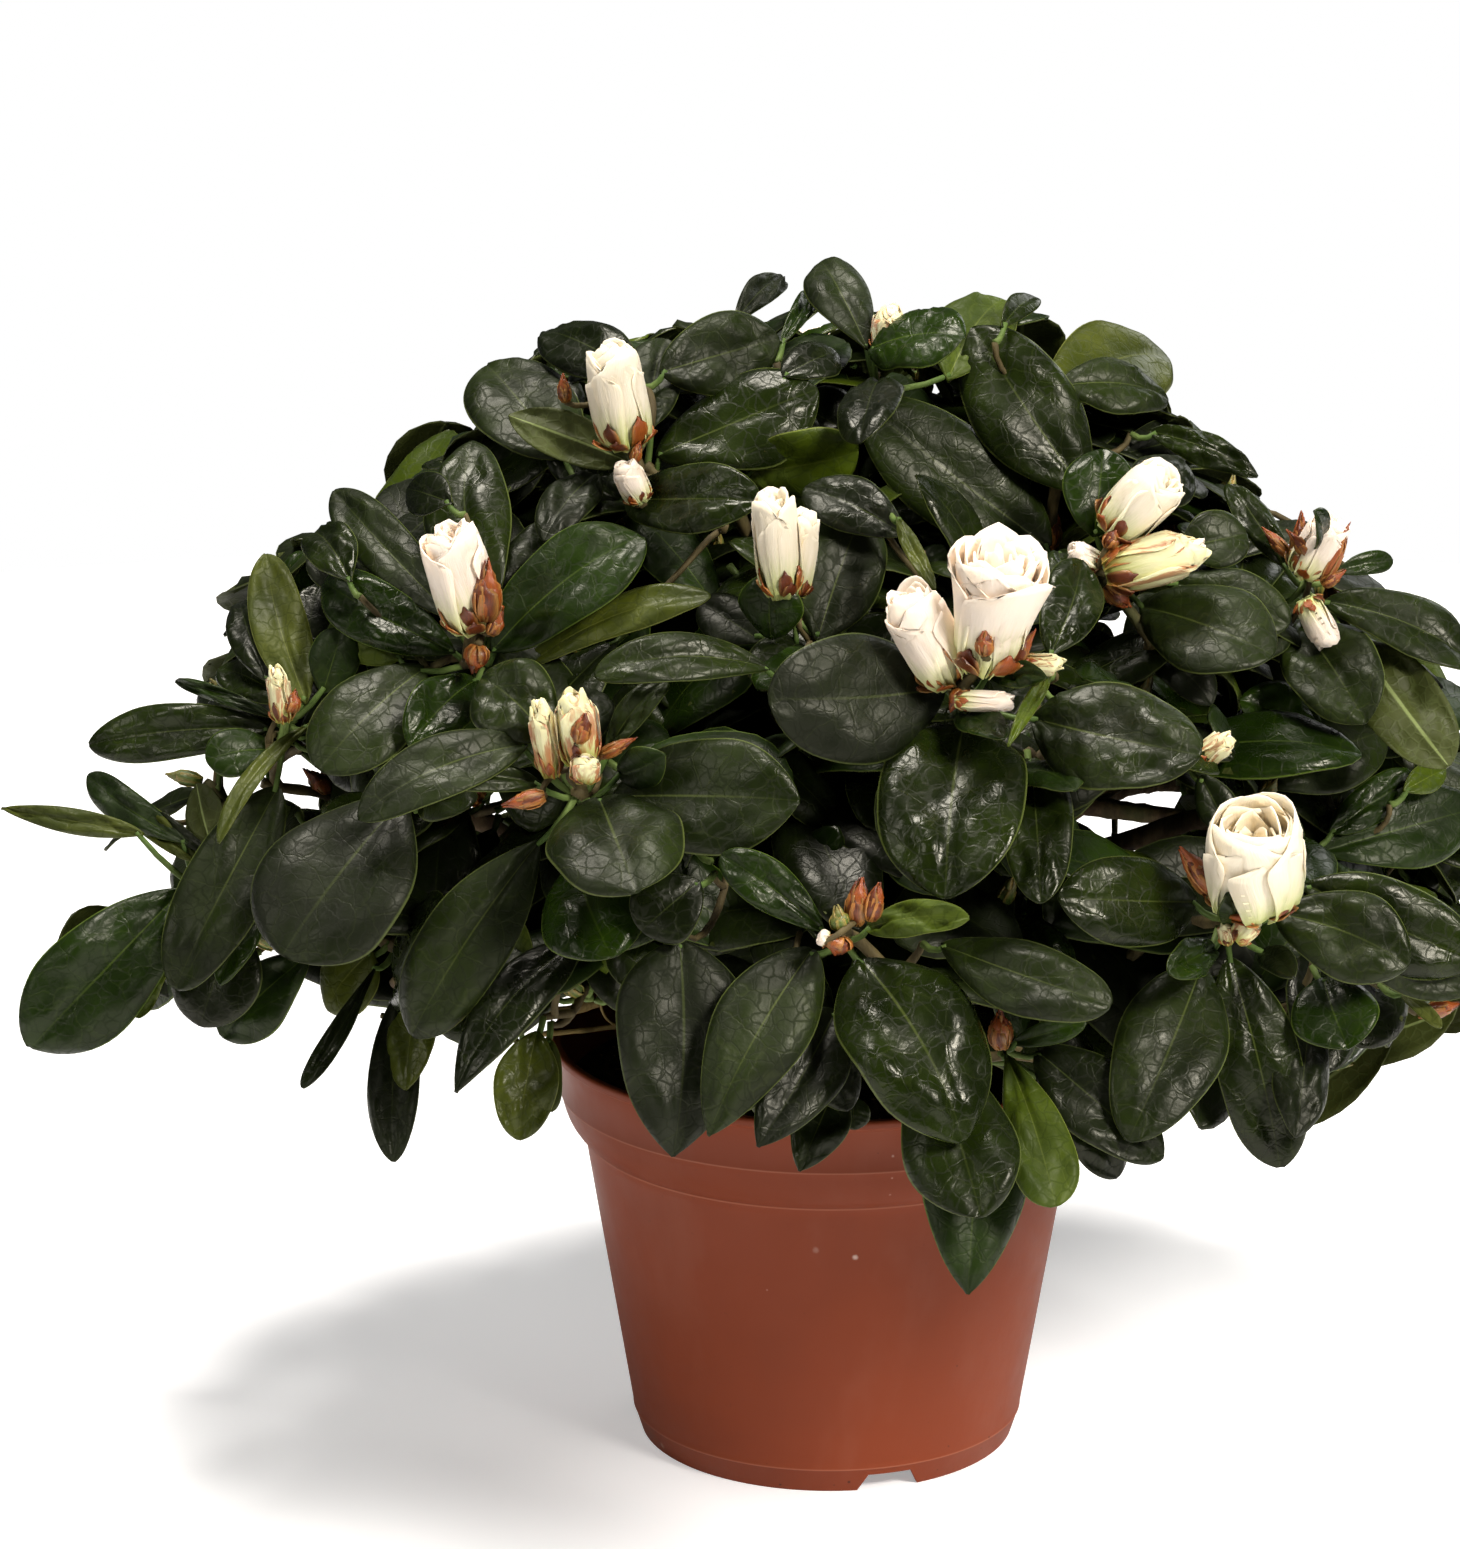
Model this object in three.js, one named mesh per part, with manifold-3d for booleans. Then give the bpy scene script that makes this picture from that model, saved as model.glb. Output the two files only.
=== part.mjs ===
// A pot azalea: a low evergreen shrub, wider than it is high, in a 13 cm plastic grower's pot.
// Millimetres, +Z up. The origin is on the floor at the pot's axis, and -Y is the front.
//
// The pot stands on a notched foot ring and holds the root ball. A short stem rises from the
// root ball and forks at a knuckle into side boughs and one leader. Each side bough carries a
// mass of leaves, and forks into boughs that carry the masses above and below it.
import * as THREE from 'three';
import { mergeVertices } from 'three/addons/utils/BufferGeometryUtils.js';
import Module from 'manifold-3d';

const wasm = await Module();
wasm.setup();

// ---------------------------------------------------------------- driving dimensions

const GAP = 0.35; // clearance between two pieces that meet

const POT = {
  height: 98,
  rimRadius: 65.5,
  lipRadius: 64.6, // the outer wall just under the rolled lip
  lipDepth: 2.2,
  seamRadius: 63.3, // the moulding line round the collar
  seamHeight: 85,
  collarRadius: 62.4, // the collar's lower edge, above the sloping shoulder
  collarHeight: 80.5,
  shoulderRadius: 57.7, // where the shoulder meets the wall
  shoulderHeight: 74.4,
  wallFootRadius: 46.4,
  footRadius: 44.6,
  footHeight: 6,
  wall: 1.3,
  floorHeight: 4.6, // the underside of the pot's floor, above the foot ring's rest
  floorThickness: 1.5,
  segments: 32,
};

const NOTCH = { count: 3, bearing: -71, bottomWidth: 16, topWidth: 10.5, height: 4.3 };
const DRAIN = { count: 6, circleRadius: 28, radius: 4.5 };

const SOIL = { surface: 87, crownRise: 1.2 };

const STEM = {
  height: 27,
  flareRadius: 11,
  neckRadius: 6.4,
  knuckleRadius: 8.6,
  lean: 0.09, // sideways shift for each millimetre of height, towards +X
};

// The crown's outline: a dome round this centre, with shoulders a little flatter than an ellipse's.
const CROWN = {
  centre: new THREE.Vector3(0, 0, 124),
  reachX: 190,
  reachY: 162,
  up: 158,
  roundness: 1.9, // the exponent of the dome's curve: 2 is an ellipse, 1 a cone
};

// Each ring of masses: how many, how high on the crown, where the first one stands, and how many
// degrees higher the ring sits in front than at the sides. A mass has three half sizes: along the
// ring, up the crown and through its thickness. Facing is the elevation that its outer side faces,
// and it lets the lowest ring tuck its lower edge in under the crown.
const RINGS = {
  skirt: {
    count: 8, elevation: 3, bearing: -90, frontLift: 4, facing: -22, spread: 67, rise: 39, depth: 27,
  },
  side: {
    count: 8, elevation: 23, bearing: -68, frontLift: 0, facing: 20, spread: 68, rise: 52, depth: 31,
  },
  upper: {
    count: 5, elevation: 54, bearing: -108, frontLift: 0, facing: 52, spread: 72, rise: 58, depth: 33,
  },
};
const SCATTER = 5; // degrees that a mass may stand off its even place in the ring
const TOP = { facing: 88, spread: 62, rise: 62, depth: 35 };

// A mass is an icosahedron that is subdivided and swollen into lobes, like clumps of shoots.
const LOBES = {
  detail: 2,
  count: 11,
  width: 0.8, // radians from a lobe's crown to its foot
  hollow: 0.84, // size between the lobes, as a share of the mass's half sizes
  height: 0.24,
};

const BOUGH = {
  mainRadius: 3.4, // a main bough at the knuckle
  forkRadius: 2.3, // a bough that forks off another
  tipShare: 0.55, // radius at the tip, as a share of the base
  bite: 5, // how far a tip reaches into its mass
  sides: 5,
  steps: 5,
};

// Where a bough forks off another, as a share of that one's length.
const FORK = { side: 0.2, skirt: 0.55, upper: 0.36 };

const LOOKS = {
  pot: { color: 0x97482f, roughness: 0.5, metalness: 0 },
  soil: { color: 0x1f1712, roughness: 0.95, metalness: 0 },
  bark: { color: 0x7a6546, roughness: 0.85, metalness: 0 },
  foliage: { color: 0x243d1f, roughness: 0.4, metalness: 0 },
};

// ---------------------------------------------------------------- helpers

const radians = THREE.MathUtils.degToRad;

// A repeatable stream of numbers between 0 and 1.
function seeded(seed) {
  let state = seed >>> 0;
  return () => {
    state = (Math.imul(state, 1664525) + 1013904223) >>> 0;
    return state / 4294967296;
  };
}

// A closed geometry as a manifold solid.
function toSolid(geometry) {
  const bare = new THREE.BufferGeometry();
  const source = geometry.index ? geometry.toNonIndexed() : geometry;
  bare.setAttribute('position', source.getAttribute('position').clone());
  const merged = mergeVertices(bare, 1e-3);
  return new wasm.Manifold(
    new wasm.Mesh({
      numProp: 3,
      vertProperties: new Float32Array(merged.attributes.position.array),
      triVerts: new Uint32Array(merged.index.array),
    }),
  );
}

// A manifold solid as a flat-shaded geometry, moved so that its own origin is at centre.
function toGeometry(solid, centre = new THREE.Vector3()) {
  const mesh = solid.getMesh();
  const positions = new Float32Array(mesh.numVert * 3);
  for (let i = 0; i < mesh.numVert; i++) {
    positions.set(mesh.vertProperties.subarray(i * mesh.numProp, i * mesh.numProp + 3), i * 3);
  }
  const geometry = new THREE.BufferGeometry();
  geometry.setAttribute('position', new THREE.BufferAttribute(positions, 3));
  geometry.setIndex(new THREE.BufferAttribute(new Uint32Array(mesh.triVerts), 1));
  geometry.translate(-centre.x, -centre.y, -centre.z);
  return geometry;
}

function material(look) {
  return new THREE.MeshStandardMaterial({ ...look, flatShading: true });
}

function named(name, geometry, look, position = new THREE.Vector3()) {
  const mesh = new THREE.Mesh(geometry, material(look));
  mesh.name = name;
  mesh.position.copy(position);
  return mesh;
}

// A profile of [radius, height] points turned about +Z.
function turned(profile, segments) {
  const points = profile.map(([radius, height]) => new THREE.Vector2(radius, height));
  return new THREE.LatheGeometry(points, segments).rotateX(Math.PI / 2);
}

// The unit vector at a bearing (counter-clockwise from +X) and an elevation, in degrees.
function direction(bearing, elevation) {
  const level = Math.cos(radians(elevation));
  return new THREE.Vector3(
    level * Math.cos(radians(bearing)),
    level * Math.sin(radians(bearing)),
    Math.sin(radians(elevation)),
  );
}

// ---------------------------------------------------------------- pot and root ball

function potWallRadius(height) {
  const outline = [
    [POT.footRadius, 0],
    [POT.wallFootRadius, POT.footHeight],
    [POT.shoulderRadius, POT.shoulderHeight],
    [POT.collarRadius, POT.collarHeight],
    [POT.seamRadius, POT.seamHeight],
    [POT.lipRadius, POT.height - POT.lipDepth],
  ];
  const above = outline.findIndex(([, z]) => z >= height);
  if (above <= 0) return above === 0 ? outline[0][0] : outline.at(-1)[0];
  const [[r0, z0], [r1, z1]] = [outline[above - 1], outline[above]];
  return r0 + ((r1 - r0) * (height - z0)) / (z1 - z0);
}

function potSolid() {
  const floorTop = POT.floorHeight + POT.floorThickness;
  const innerAt = (height) => [potWallRadius(height) - POT.wall, height];
  const body = toSolid(
    turned(
      [
        [0, POT.floorHeight],
        innerAt(POT.floorHeight),
        innerAt(0),
        [POT.footRadius, 0],
        [POT.wallFootRadius, POT.footHeight],
        [POT.shoulderRadius, POT.shoulderHeight],
        [POT.collarRadius, POT.collarHeight],
        [POT.seamRadius, POT.seamHeight],
        [POT.lipRadius, POT.height - POT.lipDepth],
        [POT.rimRadius, POT.height - POT.lipDepth],
        [POT.rimRadius, POT.height],
        [POT.lipRadius - POT.wall, POT.height],
        innerAt(POT.seamHeight),
        innerAt(POT.collarHeight),
        innerAt(POT.shoulderHeight),
        innerAt(floorTop),
        [0, floorTop],
      ],
      POT.segments,
    ),
  );
  return [...notchCutters(), ...drainCutters()].reduce((solid, cutter) => solid.subtract(cutter), body);
}

// Tapered slots through the foot ring, which let water run out from under the pot.
function notchCutters() {
  const shape = new THREE.Shape();
  shape.moveTo(-NOTCH.bottomWidth / 2, -1);
  shape.lineTo(NOTCH.bottomWidth / 2, -1);
  shape.lineTo(NOTCH.topWidth / 2, NOTCH.height);
  shape.lineTo(-NOTCH.topWidth / 2, NOTCH.height);
  const length = POT.wall * 6;
  return Array.from({ length: NOTCH.count }, (_, i) => {
    const slot = new THREE.ExtrudeGeometry(shape, { depth: length, bevelEnabled: false });
    slot.rotateX(Math.PI / 2); // the slot's height now runs along +Z and its length along -Y
    slot.translate(0, POT.footRadius + length / 2 - POT.wall, 0);
    slot.rotateZ(radians(NOTCH.bearing - 90 + (360 * i) / NOTCH.count));
    return toSolid(slot);
  });
}

function drainCutters() {
  return Array.from({ length: DRAIN.count }, (_, i) => {
    const hole = new THREE.CylinderGeometry(DRAIN.radius, DRAIN.radius, POT.floorThickness * 4, 12);
    hole.rotateX(Math.PI / 2);
    const place = direction((360 * (i + 0.5)) / DRAIN.count, 0).multiplyScalar(DRAIN.circleRadius);
    hole.translate(place.x, place.y, POT.floorHeight + POT.floorThickness / 2);
    return toSolid(hole);
  });
}

// Peat that takes the pot's inner shape, slightly crowned on top.
function rootBallGeometry() {
  const bottom = POT.floorHeight + POT.floorThickness + GAP;
  const clear = POT.wall + GAP;
  const at = (height) => [potWallRadius(height) - clear, height];
  const crown = SOIL.surface;
  return turned(
    [
      [0, bottom],
      at(bottom),
      at(POT.shoulderHeight),
      at(POT.collarHeight),
      [potWallRadius(crown) - clear, crown - SOIL.crownRise],
      [STEM.flareRadius * 2.4, crown],
      [0, crown],
    ],
    POT.segments,
  );
}

// ---------------------------------------------------------------- stem and boughs

const stemBase = SOIL.surface + GAP;
const knuckle = new THREE.Vector3(STEM.lean * STEM.height * 0.8, 0, stemBase + STEM.height * 0.8);

// The short stem: a root flare, a neck and the knuckle where it was pinched and forked.
function stemGeometry(grow = 0) {
  const top = STEM.height;
  const geometry = turned(
    [
      [0, -grow],
      [STEM.flareRadius + grow, -grow],
      [STEM.flareRadius * 0.74 + grow, top * 0.12],
      [STEM.neckRadius + grow, top * 0.38],
      [STEM.neckRadius * 1.04 + grow, top * 0.58],
      [STEM.knuckleRadius + grow, top * 0.8],
      [STEM.knuckleRadius * 0.72 + grow, top + grow],
      [0, top + grow],
    ],
    16,
  );
  geometry.applyMatrix4(new THREE.Matrix4().makeShear(0, 0, 0, 0, STEM.lean, 0));
  return geometry.translate(0, 0, stemBase);
}

// A tapering limb along a curve. grow widens it all over and lengthens it at the tip.
function limbGeometry({ path, baseRadius }, grow = 0) {
  const section = new THREE.Shape();
  section.absarc(0, 0, 1, 0, Math.PI * 2);
  const { steps, sides } = BOUGH;
  const geometry = new THREE.ExtrudeGeometry(
    new THREE.Shape(section.getSpacedPoints(sides).slice(0, sides)),
    { steps, extrudePath: path, bevelEnabled: false },
  );
  const stations = path.getSpacedPoints(steps);
  const tangent = path.getTangentAt(1);
  const position = geometry.attributes.position;
  const vertex = new THREE.Vector3();
  for (let i = 0; i < position.count; i++) {
    vertex.fromBufferAttribute(position, i);
    const distances = stations.map((station) => station.distanceTo(vertex));
    const nearest = distances.indexOf(Math.min(...distances));
    const share = nearest / steps;
    const radius = baseRadius * (1 + (BOUGH.tipShare - 1) * share) + grow;
    vertex.sub(stations[nearest]).multiplyScalar(radius).add(stations[nearest]);
    if (nearest === steps) vertex.addScaledVector(tangent, grow);
    position.setXYZ(i, vertex.x, vertex.y, vertex.z);
  }
  return geometry;
}

// A bough that leaves start towards heading, then bends to end a bite inside its mass.
function boughTo(mass, start, heading, baseRadius) {
  const reach = start.distanceTo(mass.centre);
  const leaving = start.clone().addScaledVector(heading, reach * 0.35);
  const inward = start.clone().sub(mass.centre).normalize();
  const end = mass.centre.clone().addScaledVector(inward, mass.depth * LOBES.hollow - BOUGH.bite);
  const middle = leaving.clone().lerp(end, 0.5).addScaledVector(heading, reach * 0.05);
  return { path: new THREE.CatmullRomCurve3([start, leaving, middle, end]), baseRadius };
}

// ---------------------------------------------------------------- masses of leaves

// The distance from the crown's centre to its outline in a direction.
function outline(toward) {
  const shares = [toward.x / CROWN.reachX, toward.y / CROWN.reachY, toward.z / CROWN.up];
  const sum = shares.reduce((total, share) => total + Math.abs(share) ** CROWN.roundness, 0);
  return sum ** (-1 / CROWN.roundness);
}

function massAt(name, bearing, elevation, { facing, spread, rise, depth }, seed) {
  const toward = direction(bearing, elevation);
  const centre = CROWN.centre.clone().addScaledVector(toward, outline(toward) - depth);
  const outward = direction(bearing, facing);
  const across = direction(bearing + 90, 0);
  const upward = outward.clone().cross(across);
  return { name, bearing, centre, across, upward, outward, spread, rise, depth, seed };
}

function ringOfMasses(ringName) {
  const ring = RINGS[ringName];
  return Array.from({ length: ring.count }, (_, i) => {
    const seed = ring.elevation * 100 + i;
    const random = seeded(seed * 40503);
    const bearing = ring.bearing + (360 * i) / ring.count + SCATTER * (random() - 0.5);
    const lift = SCATTER * (random() - 0.5) - ring.frontLift * Math.sin(radians(bearing));
    return massAt(`foliage_${ringName}_${i + 1}`, bearing, ring.elevation + lift, ring, seed);
  });
}

// Lobe crowns spread evenly over a sphere along a spiral, then jittered.
function lobesOf(mass) {
  const random = seeded(mass.seed * 2654435761);
  const turn = Math.PI * (3 - Math.sqrt(5));
  const start = random() * Math.PI * 2;
  return Array.from({ length: LOBES.count }, (_, i) => {
    const z = 1 - (2 * i + 1) / LOBES.count;
    const toward = new THREE.Vector3(Math.sqrt(1 - z * z), 0, z).applyAxisAngle(
      new THREE.Vector3(0, 0, 1),
      start + turn * i + (random() - 0.5) * 0.7,
    );
    return { toward, height: LOBES.height * (0.6 + 0.4 * random()) };
  });
}

// An uneven closed pad: a lobed ball, squashed to the mass's three half sizes.
function massSolid(mass) {
  const lobes = lobesOf(mass);
  const geometry = new THREE.IcosahedronGeometry(1, LOBES.detail);
  const position = geometry.attributes.position;
  const vertex = new THREE.Vector3();
  const placed = new THREE.Vector3();
  for (let i = 0; i < position.count; i++) {
    vertex.fromBufferAttribute(position, i).normalize();
    const swellings = lobes.map(({ toward, height }) => {
      const share = toward.angleTo(vertex) / LOBES.width;
      return height * Math.sqrt(Math.max(0, 1 - share * share));
    });
    const size = LOBES.hollow + Math.max(...swellings);
    placed
      .copy(mass.centre)
      .addScaledVector(mass.across, vertex.x * mass.spread * size)
      .addScaledVector(mass.upward, vertex.y * mass.rise * size)
      .addScaledVector(mass.outward, vertex.z * mass.depth * size);
    position.setXYZ(i, placed.x, placed.y, placed.z);
  }
  return toSolid(geometry);
}

// Everything past the plane halfway between two masses, less half the gap on this side.
function beyondMidway(mass, neighbour) {
  const size = 600;
  const toward = neighbour.centre.clone().sub(mass.centre);
  const middle = mass.centre.clone().addScaledVector(toward, 0.5);
  const normal = toward.normalize();
  const block = new THREE.BoxGeometry(size, size, size);
  block.applyQuaternion(
    new THREE.Quaternion().setFromUnitVectors(new THREE.Vector3(0, 0, 1), normal),
  );
  const place = middle.addScaledVector(normal, size / 2 - GAP / 2);
  block.translate(place.x, place.y, place.z);
  return toSolid(block);
}

function largestPart(solid) {
  return solid.decompose().reduce((best, part) => (part.volume() > best.volume() ? part : best));
}

// ---------------------------------------------------------------- the crown's layout

const skirt = ringOfMasses('skirt');
const side = ringOfMasses('side');
const upper = ringOfMasses('upper');
const top = massAt('foliage_top', 90, TOP.facing, TOP, 41);
const masses = [...skirt, ...side, ...upper, top];

// Main boughs leave the knuckle towards every other mass of the side ring.
function mainBough(mass, i) {
  const start = knuckle.clone().addScaledVector(direction(mass.bearing, 0), STEM.knuckleRadius * 0.6);
  start.z += i % 2 ? 1.5 : -2.5;
  return { ...boughTo(mass, start, direction(mass.bearing, i % 2 ? 34 : 20), BOUGH.mainRadius), mass };
}

// A bough that leaves its parent at a share of the parent's length.
function forkedBough(mass, parent, share, lift) {
  const start = parent.path.getPointAt(share);
  const heading = mass.centre.clone().sub(start).normalize();
  heading.z += lift;
  return { ...boughTo(mass, start, heading.normalize(), BOUGH.forkRadius), mass, parent };
}

function nearestBough(candidates, mass) {
  const closeness = (bough) => Math.cos(radians(bough.mass.bearing - mass.bearing));
  return candidates.reduce((best, bough) => (closeness(bough) > closeness(best) ? bough : best));
}

const mains = side.filter((_, i) => i % 2 === 0).map(mainBough);
const sideForks = side
  .filter((_, i) => i % 2 === 1)
  .map((mass, i) => forkedBough(mass, mains[i], FORK.side, 0.25));
const sideBoughs = [...mains, ...sideForks];
const leaderStart = knuckle.clone().setZ(stemBase + STEM.height - 2);
const boughs = [
  ...sideBoughs,
  ...skirt.map((mass) => forkedBough(mass, nearestBough(sideBoughs, mass), FORK.skirt, 0.1)),
  ...upper.map((mass, i) => forkedBough(mass, nearestBough(mains, mass), FORK.upper + (i % 2) * 0.1, 0.35)),
  { ...boughTo(top, leaderStart, direction(60, 80), BOUGH.mainRadius), mass: top },
];

// ---------------------------------------------------------------- the object

// Each bough is cut clear of the stem and of the boughs before it, its parent among them.
function boughSolids() {
  const clearances = [toSolid(stemGeometry(GAP))];
  return boughs.map((bough) => {
    const limb = clearances.reduce((solid, cutter) => solid.subtract(cutter), toSolid(limbGeometry(bough)));
    clearances.push(socketFor(bough));
    return largestPart(limb);
  });
}

function socketFor(bough) {
  return toSolid(limbGeometry(bough, GAP + 0.1));
}

function massSolids() {
  const sockets = boughs.map(socketFor);
  return masses.map((mass) => {
    const neighbours = masses.filter(
      (other) => other !== mass && mass.centre.distanceTo(other.centre) < mass.spread + other.spread,
    );
    const cutters = [...neighbours.map((other) => beyondMidway(mass, other)), ...sockets];
    return largestPart(cutters.reduce((solid, cutter) => solid.subtract(cutter), massSolid(mass)));
  });
}

function buildCrown() {
  const crown = new THREE.Group();
  massSolids().forEach((solid, i) => {
    const { name, centre } = masses[i];
    crown.add(named(name, toGeometry(solid, centre), LOOKS.foliage, centre));
  });
  boughSolids().forEach((solid, i) => {
    const name = boughs[i].mass.name.replace('foliage', 'bough');
    crown.add(named(name, toGeometry(solid), LOOKS.bark));
  });
  return crown;
}

function buildPot() {
  const pot = new THREE.Group();
  pot.add(named('pot', toGeometry(potSolid()), LOOKS.pot));
  pot.add(named('root_ball', rootBallGeometry(), LOOKS.soil));
  return pot;
}

const azalea = new THREE.Group();
azalea.add(buildPot());
azalea.add(named('stem', stemGeometry(), LOOKS.bark));
azalea.add(buildCrown());

export default azalea;
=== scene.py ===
"""A pot azalea in bud, in its plastic pot: leaves, buds, twigs, bark, peat and pot around the CAD frame.

Metres, +Z up, -Y towards the camera. Names that end in _PX hold places read off the photograph,
whose frame is 1460 x 1549 pixels. Rays through them place what the photograph shows, and the
rest of the crown is grown by a seeded rule inside the same dome as the CAD masses.
"""
import math

import bpy
import numpy as np
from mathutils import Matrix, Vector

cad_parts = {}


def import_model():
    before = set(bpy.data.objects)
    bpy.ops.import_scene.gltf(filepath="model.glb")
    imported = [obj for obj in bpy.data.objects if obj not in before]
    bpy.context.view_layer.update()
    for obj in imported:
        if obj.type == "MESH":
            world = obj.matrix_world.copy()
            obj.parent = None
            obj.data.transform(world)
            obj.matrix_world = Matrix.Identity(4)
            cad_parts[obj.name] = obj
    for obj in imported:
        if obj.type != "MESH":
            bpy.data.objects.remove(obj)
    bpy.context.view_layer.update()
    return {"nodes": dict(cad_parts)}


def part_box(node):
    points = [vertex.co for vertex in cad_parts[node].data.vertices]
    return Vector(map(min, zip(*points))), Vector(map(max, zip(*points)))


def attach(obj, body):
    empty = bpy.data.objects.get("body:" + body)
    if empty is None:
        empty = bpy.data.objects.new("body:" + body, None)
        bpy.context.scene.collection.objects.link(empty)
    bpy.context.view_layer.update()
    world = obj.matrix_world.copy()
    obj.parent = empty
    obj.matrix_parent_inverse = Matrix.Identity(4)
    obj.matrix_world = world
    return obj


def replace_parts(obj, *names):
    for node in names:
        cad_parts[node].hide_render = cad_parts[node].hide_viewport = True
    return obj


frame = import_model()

MM = 0.001

# ------------------------------------------------------------------ camera and rays

# The camera that the curves of the pot's rim and foot give: its focal length in pixels of the
# photograph, its place in metres, and how far it looks down and to the side.
FRAME_PX = (1460, 1549)
FOCAL_PX = 5334.0
SENSOR_MM = 36.0
EYE = np.array([0.0, -1.2, 0.49])
PITCH = math.radians(15.33)
YAW = math.radians(-1.11)

FORWARD = np.array([
    math.sin(YAW) * math.cos(PITCH), math.cos(YAW) * math.cos(PITCH), -math.sin(PITCH)])
RIGHT = np.array([math.cos(YAW), -math.sin(YAW), 0.0])
UP = np.cross(RIGHT, FORWARD)


def unit(v):
    return v / np.maximum(np.linalg.norm(v, axis=-1, keepdims=True), 1e-12)


def ray(px, py):
    across = (px - FRAME_PX[0] / 2) / FOCAL_PX
    down = (py - FRAME_PX[1] / 2) / FOCAL_PX
    return unit(FORWARD + RIGHT * across - UP * down)


def at(px, py, depth):
    """The point seen at a pixel, in the upright plane y = depth."""
    d = ray(px, py)
    return EYE + d * ((depth - EYE[1]) / d[1])


def project(points):
    """Where points are seen, in the photograph's pixels."""
    d = points - EYE
    far = d @ FORWARD
    return FRAME_PX[0] / 2 + FOCAL_PX * (d @ RIGHT) / far, FRAME_PX[1] / 2 - FOCAL_PX * (d @ UP) / far


# ------------------------------------------------------------------ lights

# The floor's radius, the light from all round, and how much brighter the camera sees the floor.
STUDIO = {"floor": 0.95, "ambient": 0.06, "lift": 0.35}
LIGHTS = [  # name, place, size, watts, colour
    ("key", (0.95, -1.10, 1.20), 0.42, 41.0, (1.0, 0.96, 0.91)),
    ("fill", (-1.30, -1.0, 1.0), 0.6, 7.5, (1.0, 0.97, 0.94)),
    ("top", (-0.25, 0.10, 1.60), 0.5, 31.0, (1.0, 0.96, 0.92)),
    ("back", (0.9, 1.3, 0.9), 0.9, 6.0, (1.0, 1.0, 1.0)),
]
KEY_PLACE = np.array(LIGHTS[0][1])
AIM = (0.0, 0.0, 0.15)


# ------------------------------------------------------------------ the crown's dome

DOME = {"centre": np.array([0.0, 0.0, 0.124]), "reach": np.array([0.190, 0.162]),
        "up": 0.158, "down": 0.062, "roundness": 1.9}


def dome_share(points):
    """0 at the dome's centre, 1 on its surface."""
    d = points - DOME["centre"]
    half_height = np.where(d[..., 2] > 0, DOME["up"], DOME["down"])
    power = DOME["roundness"]
    total = (np.abs(d[..., 0]) / DOME["reach"][0]) ** power
    total = total + (np.abs(d[..., 1]) / DOME["reach"][1]) ** power
    total = total + (np.abs(d[..., 2]) / half_height) ** power
    return total ** (1 / power)


def dome_normal(point):
    step = 0.002
    slope = [dome_share(point + step * e) - dome_share(point - step * e) for e in np.eye(3)]
    return unit(np.array(slope))


def on_dome(px, py, share):
    """The nearest point of a pixel's ray that is this deep in the dome, or its closest approach."""
    d = ray(px, py)
    points = EYE + d * np.linspace(0.9, 1.45, 400)[:, None]
    shares = dome_share(points)
    inside = np.nonzero(shares < share)[0]
    return points[inside[0] if len(inside) else int(np.argmin(shares))]


def waves(points, scale, seed, count=7):
    """A smooth uneven value from -1 to 1 over points, with features about scale metres wide."""
    rng = np.random.default_rng(seed)
    turn = unit(rng.normal(size=(count, 3))) * rng.uniform(0.7, 1.6, (count, 1)) * math.pi / scale
    shift = rng.uniform(0, 2 * math.pi, count)
    return np.sin(points @ turn.T + shift).sum(-1) / math.sqrt(count) * 0.7


# ------------------------------------------------------------------ meshes made of rings

ATLAS = "OFBake"
CELL_MARGIN = 0.05  # the empty rim of each part's cell
CELL_CAP = 0.06  # the height that each end cap takes in a cell


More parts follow.
